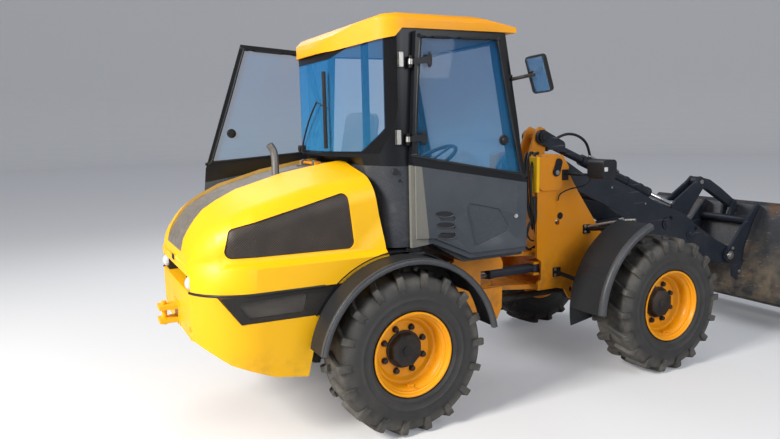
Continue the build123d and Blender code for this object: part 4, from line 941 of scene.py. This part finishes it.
# Columns: name, body, slot, finish, profile, axis, scale, segments, places on the right side
HARDWARE = (
    ("ear_bolts", "front_frame", "steel", steel, BOLT, OUT, 1.1, 20, [(1.533, -0.3078, 1.462)]),
    ("tilt_base_caps", "front_frame", "dark_plastic", lamp_black, PIN_CAP, OUT, 0.85, 32,
     [(1.567, -0.1090, 1.720)]),
    ("boom_caps", "boom", "black_paint", boom_black, PIN_CAP, OUT, 1.0, 32,
     [(3.041, -0.2510, 0.856), (2.745, -0.2560, 0.972)]),
    ("boom_bolts", "boom", "black_paint", lamp_black, BOLT, OUT, 1.3, 20,
     [(3.101, -0.2500, 0.900), (2.800, -0.2500, 1.015)]),
    ("boom_nipples", "boom", "steel", steel, BOLT, OUT, 0.55, 20,
     [(2.131, -0.2500, 1.310), (2.498, -0.2500, 1.157)]),
    ("hitch_bolts", "tool", "steel", steel, BOLT, OUT, 1.0, 20,
     [(3.540, -0.2870, 0.690), (3.640, -0.2870, 0.470)]),
    ("tip_caps", "tip_pins", "steel", steel, PIN_CAP, OUT, 0.8, 32, [(3.503, -0.2960, 0.631)]),
    ("cab_plugs", "rear_frame", "dark_plastic", vent_plastic, PLUG, OUT, 1.0, 20, [(0.005, -0.6600, 1.560)]),
    ("cab_bolts", "rear_frame", "dark_plastic", lamp_black, BOLT, OUT, 0.6, 20, [(0.038, -0.6600, 1.505)]),
    ("guard_bolts", "front_frame", "steel", steel, BOLT, INWARD, 0.9, 20,
     [(1.60, -0.539, 0.80), (1.70, -0.539, 0.93), (1.66, -0.539, 0.62), (1.92, -0.539, 1.03)]),
    ("strut_bolts", "front_frame", "steel", steel, BOLT, OUT, 0.8, 20,
     [(1.825, -0.2915, 0.990), (1.825, -0.2915, 1.030), (1.535, -0.2915, 0.685), (1.535, -0.2915, 0.725)]),
)
for name, body, slot, finish, profile, axis, scale, segments, places in HARDWARE:
    piece(name, row_of(profile, places, axis, scale, segments), body, finish, 30)
print("hardware rows", len(HARDWARE))

# %% [markdown]
# The tower's ears carry a dark oblong plate and a folded flange on each side, whose paler yellow is
# painted sunlight, and each tower plate has one round hole. The plates are outlines given a thickness.
# The hole is only a dark disc of painted shade, because nothing shows through it and a real cut would
# leave long thin faces in the plate.

# %% Plates and holes on the tower
oblong = np.vstack([
    arc_points(1.5475, 1.532, 0.034, 0, 180, 14),
    arc_points(1.5275, 1.466, 0.034, 180, 360, 14),
])
# The dark disc is painted shade that stands in for the hole's dark inside.
disc = arc_points(1.585, 1.132, 0.027, 0, 348.75, 32)
# Columns: name, part on the right side, slot, finish, bevel
TOWER_PARTS = (
    ("ear_plates", prism(oblong, -0.3080, -0.3000), "dark_plastic", lamp_black, 0.0015),
    ("ear_flanges", brick(1.3465, 1.3755, -0.2995, -0.2085, 1.3205, 1.5835), "yellow", sunlit_flange_yellow, 0.006),
    ("tower_hole_shades", prism(disc, -0.2808, -0.2795), "dark_plastic", post_black, 0.0),
)
for name, part, slot, finish, bevel in TOWER_PARTS:
    piece(name, both_sides(part), "front_frame", finish, 30, bevel)
print("tower parts", len(TOWER_PARTS))

# %% [markdown]
# A glass door hangs on two knuckles by dark T-shaped arms that are bolted through the glass, with a
# rubber seal all round, a knob inside and a lock in its panel. It is worked out once, shut, on the
# right. The left door stands open in the frame, and a formula turns the mirror image to it.

# %% Doors: hinges on the glass, seals, lock and knob
HINGE_LINE = np.array([(0.082, -0.690, 1.750), (0.106, -0.690, 2.200)])
KNUCKLE = ((0.0, -0.016), (0.0145, -0.016), (0.0160, -0.014), (0.0160, 0.014), (0.0145, 0.016), (0.0, 0.016))
KNOB = (
    (0.0, 0.030), (0.020, 0.029), (0.026, 0.022), (0.026, 0.006), (0.034, 0.004), (0.034, 0.0), (0.0, 0.0),
)
LOCK = (
    (0.0, 0.008), (0.011, 0.008), (0.0115, 0.0055), (0.019, 0.0055), (0.021, 0.003), (0.021, 0.0), (0.0, 0.0),
)
# Columns: x, z; corners of the seal, from the lower hinge up, forward and round
SEAL = (
    (0.132, 1.66), (0.135, 1.90), (0.168, 2.320), (0.19, 2.343), (0.70, 2.343), (0.722, 2.325),
    (0.80, 1.96), (0.898, 1.525), (0.885, 1.507), (0.155, 1.641), (0.132, 1.66),
)
# Columns: rise and reach of each hinge's arm
ARMS = ((0.006, 0.094), (0.012, 0.112))
LOBE_DEPTH, LOBE_HEIGHT = 0.022, 0.045
ARM_OUTER, ARM_INNER = -0.713, -0.7035


def hinge_arm(hinge, rise, reach):
    """A stem from the knuckle to a half ellipse of 12 points on the glass, with two caps on it."""
    hinge_x, _, hinge_z = hinge
    x, z = hinge_x + reach, hinge_z + rise
    lobe = np.linspace(-np.pi / 2, np.pi / 2, 12)
    tip = np.stack([x + LOBE_DEPTH * np.cos(lobe), z + LOBE_HEIGHT * np.sin(lobe)], -1)
    neck, root = x - 0.010, hinge_x + 0.010
    stem = [(neck, z + 0.020), (root, hinge_z + 0.018), (root, hinge_z - 0.014), (neck, z - 0.020)]
    caps = [turned_at(PIN_CAP, (x + 0.004, -0.7125, z + dz), OUT, 0.28, 24) for dz in (-0.026, 0.026)]
    return joined([prism(np.vstack([tip, stem]), ARM_OUTER, ARM_INNER), *caps])


def door_fittings():
    """For the right door, shut: knuckles; then arms, seal and knob together; then the lock."""
    lean = HINGE_LINE[1] - HINGE_LINE[0]
    knuckles = joined([turned_at(KNUCKLE, p, lean, 1.0, 24) for p in HINGE_LINE])
    arms = [hinge_arm(p, *arm) for p, arm in zip(HINGE_LINE, ARMS)]
    seal = tube(smooth_path([(x, -0.700, z) for x, z in SEAL], 6), 0.0085, 10)
    knob = turned_at(KNOB, (0.773, -0.684, 1.726), OUT, 1.0, 28)
    lock = turned_at(LOCK, (0.858, -0.705, 1.235), OUT, 0.7, 28)
    return knuckles, joined([*arms, seal, knob]), lock


def opened(part, degrees):
    """Mirrored to the left and turned about the leaning hinge line by Rodrigues' formula."""
    points, faces = other_side(part)
    base = HINGE_LINE[0] * (1, -1, 1)
    k = (HINGE_LINE[1] - HINGE_LINE[0]) * (1, -1, 1)
    k = k / np.linalg.norm(k)
    a, p = math.radians(degrees), points - base
    turned_points = p * math.cos(a) + np.cross(k, p) * math.sin(a) + np.outer(p @ k, k) * (1 - math.cos(a))
    return turned_points + base, faces


print("seal corners", len(SEAL))

# %% [markdown]
# Each fitting is now set down twice. The copy could be turned by its object, but a piece keeps its
# place in its mesh here, so the points themselves are turned. The brackets that the knuckles sit in
# stay on the cab: they stop short of the space that the open door swings through.

# %% Fittings on both doors
OPEN_ANGLE = 168


def on_both_doors(name, part, finish, angle):
    """The part on the shut right door, and its copy on the open left one."""
    piece(f"door_right_{name}", part, "door_right", finish, angle)
    piece(f"door_left_{name}", opened(part, OPEN_ANGLE), "door_left", finish, angle)


knuckles, trim, lock = door_fittings()
on_both_doors("knuckles", knuckles, steel, 35)
on_both_doors("trim", trim, post_black, 35)
on_both_doors("lock", lock, chrome, 35)
brackets = joined([
    brick(x - 0.070, x - 0.042, -0.6850, -0.6550, z - 0.030, z + 0.056) for x, y, z in HINGE_LINE
])
piece("hinge_brackets", both_sides(brackets), "rear_frame", steel, 30, 0.003)
print("door fittings on both doors")

# %% [markdown]
# On the rear pane lies a wiper: a bent tube for its arm, thin bars for its blade and a foot with its
# pivot. The mirrors' glass is a slightly domed sheet set on the rear face of each housing, with the
# housing's own lean and turn, and it is chrome, which reflects the studio as a mirror would.

# %% Cab: wiper and mirror glass
WIPER_ARM = [(-0.275, 0.174, 1.690), (-0.282, 0.10, 1.77), (-0.288, -0.03, 1.89), (-0.286, -0.16, 1.99)]
wiper = joined([
    tube(smooth_path(WIPER_ARM, 6), 0.006, 8),
    brick(-0.290, -0.276, -0.284, -0.272, 1.70, 2.17),
    brick(-0.275, -0.2655, -0.280, -0.276, 1.70, 2.17),
    tube([WIPER_ARM[-1], (-0.285, -0.278, 1.96)], 0.005, 8),
    brick(-0.290, -0.262, 0.135, 0.215, 1.668, 1.712),
    turned_at(KNUCKLE, (-0.284, 0.174, 1.69), (1, 0, 0), 1.1),
])
piece("wiper", wiper, "rear_frame", vent_plastic, 35, 0.0015)
MIRROR_HALF = (0.064, 0.106)
MIRROR_PLACE = (0.930, 0.838, 2.130)
MIRROR_LEAN, MIRROR_TURN = math.radians(-18), math.radians(-12)


def mirror_glass():
    """The left mirror's pane: x = -0.0142 - 0.0006 (1 - (y / half)^2), leaned, turned and moved."""
    half_y, half_z = MIRROR_HALF
    y, z = np.meshgrid(np.linspace(-half_y, half_y, 9), np.linspace(-half_z, half_z, 13))
    x = -0.0142 - 0.0006 * (1 - (y / half_y) ** 2)
    turn = Euler((0, MIRROR_LEAN, 0)).to_matrix() @ Euler((0, 0, MIRROR_TURN)).to_matrix()
    return np.stack([x, y, z], -1).reshape(-1, 3) @ np.array(turn).T + MIRROR_PLACE, grid_faces(13, 9)


piece("mirror_panes", both_sides(mirror_glass()), "rear_frame", chrome, 35)
print("cab trim ready")

# %% [markdown]
# Lamps are plastic lenses in black housings that the frame already has. A round lens is one turned
# profile, flat for a headlamp and domed for a rear lamp, and the small marker is a plain block. The
# hood's latch sits in the handle's recess between the rear lamps.

# %% Lamps and latch
HEAD_LENS = ((0.0, 0.010), (0.030, 0.009), (0.048, 0.006), (0.056, 0.001), (0.058, 0.0), (0.0, 0.0))
DOME = (
    (0.0, 0.036), (0.014, 0.0345), (0.027, 0.029), (0.037, 0.019), (0.0415, 0.007), (0.042, 0.0), (0.0, 0.0),
)
FORWARD, BACKWARD = (1, 0, 0), (-1, 0, 0)
# Columns: name, body, finish, profile, axis, scale, segments, place on the right side
LENSES = (
    ("head_lenses", "front_frame", white_lens, HEAD_LENS, FORWARD, 0.95, 40, (1.790, -0.560, 1.490)),
    ("rear_white", "rear_frame", white_lens, DOME, BACKWARD, 1.0, 36, (-1.1665, -0.402, 0.978)),
    ("rear_red", "rear_frame", red_lens, HEAD_LENS, BACKWARD, 0.36, 28, (-1.1665, -0.345, 0.975)),
)
for name, body, finish, profile, axis, scale, segments, place in LENSES:
    piece(name, row_of(profile, [place], axis, scale, segments), body, finish, 40)
marker = brick(1.674, 1.704, -0.6425, -0.636, 1.478, 1.508)
piece("side_markers", both_sides(marker), "front_frame", white_lens, 30, 0.002)
latch = joined([
    brick(-1.197, -1.186, -0.030, 0.030, 1.052, 1.086),
    brick(-1.200, -1.195, -0.012, 0.012, 1.060, 1.078),
])
piece("latch", latch, "hood", vent_plastic, 30, 0.002)
print("lenses", len(LENSES), "a side, marker and latch")

# %% [markdown]
# A rubber seal closes the gap between the hood and the ballast casting, and a punched sheet fills
# each side panel's window. The seal is a tube along the belt: a straight, then an arc round the
# corner as seen from above. The sheet is a thin plate, and its holes are in its finish.

# %% The seam between hood and casting, and the side panels' sheets
SEAM_HEIGHT = 0.9315
corner_arc = arc_points(-0.850, -0.327, 0.3555, -90, -161.5, 24)
seam_line = np.vstack([[(-0.470, -0.6825), (-0.600, -0.6825), (-0.740, -0.6825)], corner_arc])
seam_line = np.column_stack([seam_line, np.full(len(seam_line), SEAM_HEIGHT)])
piece("belt_seals", both_sides(tube(seam_line, 0.0085, 10)), "rear_frame", hose_rubber, 40)
insert = prism([(-0.978, 0.889), (-0.572, 0.904), (-0.602, 0.796), (-0.914, 0.798)], -0.6665, -0.662)
piece("side_meshes", both_sides(insert), "rear_frame", side_mesh, 30)
print("seam points", len(seam_line))

# %% [markdown]
# The plastic mudguards end in a fat rolled lip that catches the light. A bevel on the sheet's edge
# would be too thin for it, so a tube follows the arc: a centre (x0, z0) and a radius r give
# x = x0 + r cos a and z = z0 + r sin a.

# %% Mudguard lips
GUARD_HEIGHT = 0.480


def arc_tube(x, r, start, end, y, radius):
    """A tube along an arc in the side view at one y; angles in degrees from forward."""
    arc = arc_points(x, GUARD_HEIGHT, r, start, end, 40)
    return tube(np.insert(arc, 1, y, axis=1), radius, 12)


lip_plastic = grained("lip_plastic", (0.042, 0.045, 0.051), (0.068, 0.070, 0.074), 0.40, 260.0, 0.0005)
# Columns: name, body, arc's centre x, radius, start, end, y, tube's radius
LIPS = (
    ("rear_lips", "rear_frame", 0.0, 0.574, 10.5, 169.5, -0.878, 0.020),
    ("front_lips", "front_frame", WHEELBASE, 0.646, 109.0, 177.0, -0.852, 0.028),
)
for name, body, *arc in LIPS:
    piece(name, both_sides(arc_tube(*arc)), body, lip_plastic, 40)
print("lips", len(LIPS), "a side")

# %% [markdown]
# Over each rear tyre a black liner closes the wheel arch, so that no engine shows through it: a curved
# sheet and a deep inner wall between two arcs. Each door's panel has three pressed louvres. A dark
# oval of painted shade with a rolled lip under it reads as a slot and needs no cut in the door.

# %% Wheel-arch liners and the louvres in the doors
def arc_sheet(r, start, end, y0, y1, wall):
    """A sheet between two arcs over the rear axle, from y0 to y1; angles in degrees from forward."""
    outer, inner = (arc_points(0.0, GUARD_HEIGHT, radius, start, end, 32) for radius in (r, r - wall))
    return prism(np.vstack([outer, inner[::-1]]), y0, y1)


liner = arc_sheet(0.606, 28, 152, -0.690, -0.362, 0.006)
inner_wall = arc_sheet(0.600, 12, 168, -0.492, -0.486, 0.135)
piece("arch_liners", both_sides(joined([liner, inner_wall])), "rear_frame", post_black, 30)
LOUVRES = ((0.334, 1.150), (0.326, 1.219), (0.318, 1.288))
LOUVRE_SLOPE = 0.08


def leaning_oval(centre, half, height, angles):
    """Points x = half cos a, z = height sin a - slope x about a centre in the side view."""
    x = half * np.cos(angles)
    return np.stack([centre[0] + x, centre[1] + height * np.sin(angles) - LOUVRE_SLOPE * x], -1)


def louvre_parts():
    """Dark ovals of painted shade for the slots in the right door's panel, and the rolled lower lip of each.
    """
    round_trip = np.linspace(0, 2 * np.pi, 28, endpoint=False)
    below = np.linspace(np.pi * 1.05, np.pi * 1.95, 16)
    slot_shades = [prism(leaning_oval(spot, 0.064, 0.017, round_trip), -0.7035, -0.697) for spot in LOUVRES]
    lines = [np.insert(leaning_oval(spot, 0.066, 0.020, below), 1, -0.7040, axis=1) for spot in LOUVRES]
    return joined(slot_shades), joined([tube(line, 0.0035, 8) for line in lines])


slot_shades, slot_lips = louvre_parts()
# Dark ovals of painted shade for the slots, on both doors.
on_both_doors("slot_shades", slot_shades, lamp_black, 40)
on_both_doors("slot_lips", slot_lips, lip_plastic, 40)
print("louvres", len(LOUVRES), "a door")

# %% [markdown]
# The tilt ram's barrel ends in a thick sleeve with two bands, and a bent steel pipe leads the exhaust
# out of the hood. The sleeve is hollow, so that the rod slides in it when the bucket tips. The pipe
# takes the place of the frame's plain stub, and a black disc in its mouth is painted shade for its depth.

# %% Tilt ram's sleeve, and the exhaust
RAM_START, RAM_END = np.array([1.567, 0.0, 1.720]), np.array([3.088, 0.0, 1.078])
BARREL_LENGTH = 0.949
ram_way = (RAM_END - RAM_START) / np.linalg.norm(RAM_END - RAM_START)
# Columns: radius, distance past the frame's own barrel; the inner wall clears the rod
SLEEVE = (
    (0.027, 0.0), (0.045, 0.0), (0.045, 0.075), (0.050, 0.077), (0.050, 0.097), (0.045, 0.099),
    (0.045, 0.250), (0.050, 0.252), (0.050, 0.272), (0.045, 0.274), (0.045, 0.335), (0.049, 0.340),
    (0.049, 0.372), (0.044, 0.378), (0.027, 0.378), (0.027, 0.0),
)
sleeve = turned_at(SLEEVE, RAM_START + BARREL_LENGTH * ram_way, ram_way, 1.0, 40)
piece("tilt_sleeve", sleeve, "tilt_barrel", boom_black, 35)
# Columns: x, z, in the plane y = -0.05
EXHAUST = ((-0.540, 1.480), (-0.540, 1.560), (-0.540, 1.640), (-0.549, 1.692), (-0.574, 1.732))
# A black disc in the pipe's mouth: painted shade for the pipe's dark inside.
MOUTH_SHADE = ((0.0, 0.0008), (0.0195, 0.0008), (0.0195, -0.002), (0.0, -0.002))
exhaust_line = smooth_path([(x, -0.05, z) for x, z in EXHAUST], 8)
sooty = metal("sooty_steel", (0.26, 0.25, 0.24), 0.42, 0.30)
exhaust_body = frame["nodes"]["exhaust_stub"]["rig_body"]
pipe = tube(exhaust_line, 0.024, 24)
piece("exhaust_pipe", pipe, exhaust_body, sooty, 40, replaces=["exhaust_stub"])
end, before = exhaust_line[-1], exhaust_line[-2]
piece("exhaust_mouth_shade", turned_at(MOUTH_SHADE, end, end - before, 1.0, 28), exhaust_body, post_black, 30)
print("ram sleeve and exhaust ready")

# %% [markdown]
# Oil reaches the rams through rubber hoses and steel pipes that hang in loops. A few points carry a
# smooth curve, and a circle is carried along it. Both ends of each one are clamped to the same body,
# because a fixed tube from one moving body to another would tear when the joint turns.

# %% Hoses and pipes
LAMP_CABLE = [
    (1.680, -0.500, 1.425), (1.660, -0.46, 1.370), (1.600, -0.37, 1.340), (1.560, -0.31, 1.300),
    (1.545, -0.300, 1.250),
]
# Columns: name, body, radius, path; all of rubber
HOSES = (
    ("tower_hose_a", "front_frame", 0.012, [
        (1.440, -0.195, 1.605), (1.385, -0.225, 1.590), (1.325, -0.262, 1.470), (1.312, -0.275, 1.330),
        (1.330, -0.268, 1.210), (1.372, -0.250, 1.120), (1.425, -0.220, 1.040)]),
    ("tower_hose_b", "front_frame", 0.012, [
        (1.440, -0.150, 1.600), (1.375, -0.180, 1.600), (1.318, -0.225, 1.480), (1.300, -0.245, 1.350),
        (1.312, -0.245, 1.230), (1.360, -0.230, 1.130), (1.425, -0.190, 1.060)]),
    ("tower_hose_c", "front_frame", 0.011, [
        (1.440, -0.100, 1.590), (1.372, -0.140, 1.590), (1.322, -0.195, 1.460), (1.318, -0.215, 1.320),
        (1.345, -0.210, 1.180), (1.390, -0.190, 1.090), (1.425, -0.160, 1.030)]),
    ("tower_hose_d", "front_frame", 0.011, [
        (1.440, 0.120, 1.590), (1.372, 0.150, 1.570), (1.325, 0.190, 1.430), (1.325, 0.200, 1.270),
        (1.360, 0.180, 1.140), (1.425, 0.140, 1.040)]),
    ("tower_sleeve", "front_frame", 0.024, [
        (1.345, -0.262, 1.290), (1.350, -0.262, 1.220), (1.372, -0.252, 1.130), (1.400, -0.235, 1.060),
        (1.428, -0.215, 1.000)]),
    ("tower_loop", "front_frame", 0.009, [
        (1.425, -0.215, 1.150), (1.365, -0.225, 1.120), (1.322, -0.225, 1.020), (1.312, -0.210, 0.930),
        (1.360, -0.200, 0.885), (1.430, -0.190, 0.905)]),
    ("tower_loop_b", "front_frame", 0.006, [
        (1.425, -0.160, 1.100), (1.380, -0.180, 1.090), (1.345, -0.190, 1.020), (1.372, -0.190, 0.960),
        (1.425, -0.170, 0.940)]),
    ("tilt_loop", "tilt_barrel", 0.011, [
        (1.742, 0.0, 1.676), (1.790, -0.01, 1.712), (1.880, -0.02, 1.735), (1.985, -0.02, 1.715),
        (2.080, -0.01, 1.650), (2.140, 0.0, 1.520)]),
    ("lamp_cable_right", "front_frame", 0.005, LAMP_CABLE),
    ("lamp_cable_left", "front_frame", 0.005, np.array(LAMP_CABLE) * (1, -1, 1)),
)
for name, body, radius, path in HOSES:
    piece(name, tube(smooth_path(path, 8), radius, 12), body, hose_rubber, 40)
TILT_PIPE = [
    (2.075, -0.050, 1.545), (2.085, -0.056, 1.548), (2.30, -0.056, 1.457), (2.370, -0.053, 1.427),
    (2.405, -0.040, 1.409),
]
GUARD_PIPE = [
    (1.848, -0.297, 1.030), (1.885, -0.375, 1.052), (1.925, -0.470, 1.078), (1.960, -0.560, 1.098),
    (1.985, -0.640, 1.108),
]
piece("tilt_pipe", tube(smooth_path(TILT_PIPE, 8), 0.009, 12), "tilt_barrel", steel, 40)
piece("guard_pipe", tube(smooth_path(GUARD_PIPE, 8), 0.011, 12), "front_frame", steel, 40)
print("hoses", len(HOSES), "and two pipes")

# %% [markdown]
# The camera stands where the photograph was taken from. Its place, its turn and its lens were solved from
# both near wheels and the cab's upright edges, and are kept as numbers. The lens is a focal length
# in pixels of the photograph, turned into millimetres on a 36 mm sensor.

# %% Camera
YAW, PITCH, ROLL = math.radians(26.468), math.radians(7.845), math.radians(1.241)
CAMERA_PLACE = (-1.8426 + REAR_AXLE_X, -4.2903, 1.8365)
FOCAL_PIXELS, PICTURE_WIDTH, SENSOR = 685.8, 780, 36.0
camera = bpy.data.cameras.new("camera")
camera.sensor_width = SENSOR
camera.lens = SENSOR * FOCAL_PIXELS / PICTURE_WIDTH
viewer = bpy.data.objects.new("camera", camera)
bpy.context.scene.collection.objects.link(viewer)
turned = Euler((math.pi / 2 - PITCH, 0, -YAW)).to_matrix() @ Matrix.Rotation(-ROLL, 3, "Z")
viewer.matrix_world = Matrix.Translation(CAMERA_PLACE) @ turned.to_4x4()
bpy.context.scene.camera = viewer
print("camera axes", [tuple(round(v, 4) for v in turned.col[i]) for i in range(3)])

# %% [markdown]
# The studio is a wide round bowl, pale and plain, so that the machine has the same backdrop from any
# side. A large warm key light stands behind the machine and to its right, a broad cool fill lights
# its right side, and a weak one lights the left. The floor glows a little, for the camera only.

# %% Floor, lights and world
FLOOR_RADIUS, CURVE, WALL_TOP = 34.0, 4.0, 12.0


def bowl_floor():
    """Turned about Z: flat, then a quarter circle, (radius + c sin a, c - c cos a), then a wall."""
    a = np.linspace(0, np.pi / 2, 14)
    r = np.concatenate([[0.5, 10.0, 20.0], FLOOR_RADIUS + CURVE * np.sin(a), [FLOOR_RADIUS + CURVE]])
    z = np.concatenate([[0.0, 0.0, 0.0], CURVE - CURVE * np.cos(a), [WALL_TOP]])
    t = np.arange(64)[None, :] * 2 * np.pi / 64
    r, z = r[:, None], z[:, None]
    points = np.stack(np.broadcast_arrays(r * np.cos(t), r * np.sin(t), z), -1).reshape(-1, 3)
    return points, grid_faces(len(r), 64, close_columns=True) + [list(range(64))]


floor_material, tree, shader = new_finish("floor", (0.66, 0.66, 0.66), 0.8)
seen = tree.nodes.new("ShaderNodeLightPath").outputs["Is Camera Ray"]
shader.inputs["Emission Color"].default_value = (0.90, 0.93, 1.0, 1)
set_input(tree, shader, "Emission Strength", calc(tree, "MULTIPLY", seen, 0.15))
floor_mesh = bpy.data.meshes.new("floor")
points, faces = bowl_floor()
points[:, 2] -= 0.0005
floor_mesh.from_pydata(points.tolist(), [], faces)
floor_mesh.materials.append(floor_material)
floor = bpy.data.objects.new("floor", floor_mesh)
bpy.context.scene.collection.objects.link(floor)

WARM, COOL = (1.0, 0.96, 0.90), (0.93, 0.96, 1.0)
# Columns: name, place, aim, size, power, colour
LAMPS = (
    ("key", (-8.8, -2.4, 5.6), (0.0, 0.0, 0.8), 2.4, 1150, WARM),
    ("fill", (1.5, -8.5, 5.0), (0.3, 0.0, 0.8), 5.0, 360, COOL),
    ("back", (-1.0, 5.0, 5.5), (0.0, 0.0, 1.0), 3.5, 130, COOL),
)
for name, place, aim, size, power, colour in LAMPS:
    lamp = bpy.data.lights.new(name, "AREA")
    lamp.size, lamp.energy, lamp.color = size, power, colour
    holder = bpy.data.objects.new(name, lamp)
    bpy.context.scene.collection.objects.link(holder)
    facing = (Vector(aim) - Vector(place)).to_track_quat("-Z", "Y").to_matrix()
    holder.matrix_world = Matrix.Translation(place) @ facing.to_4x4()

world = bpy.data.worlds.new("studio")
bpy.context.scene.world = world
world.use_nodes = True
background = world.node_tree.nodes["Background"]
background.inputs["Color"].default_value = (0.86, 0.90, 1.0, 1)
background.inputs["Strength"].default_value = 0.34
bpy.context.scene.view_settings.view_transform = "Standard"
print("lamps", len(LAMPS))
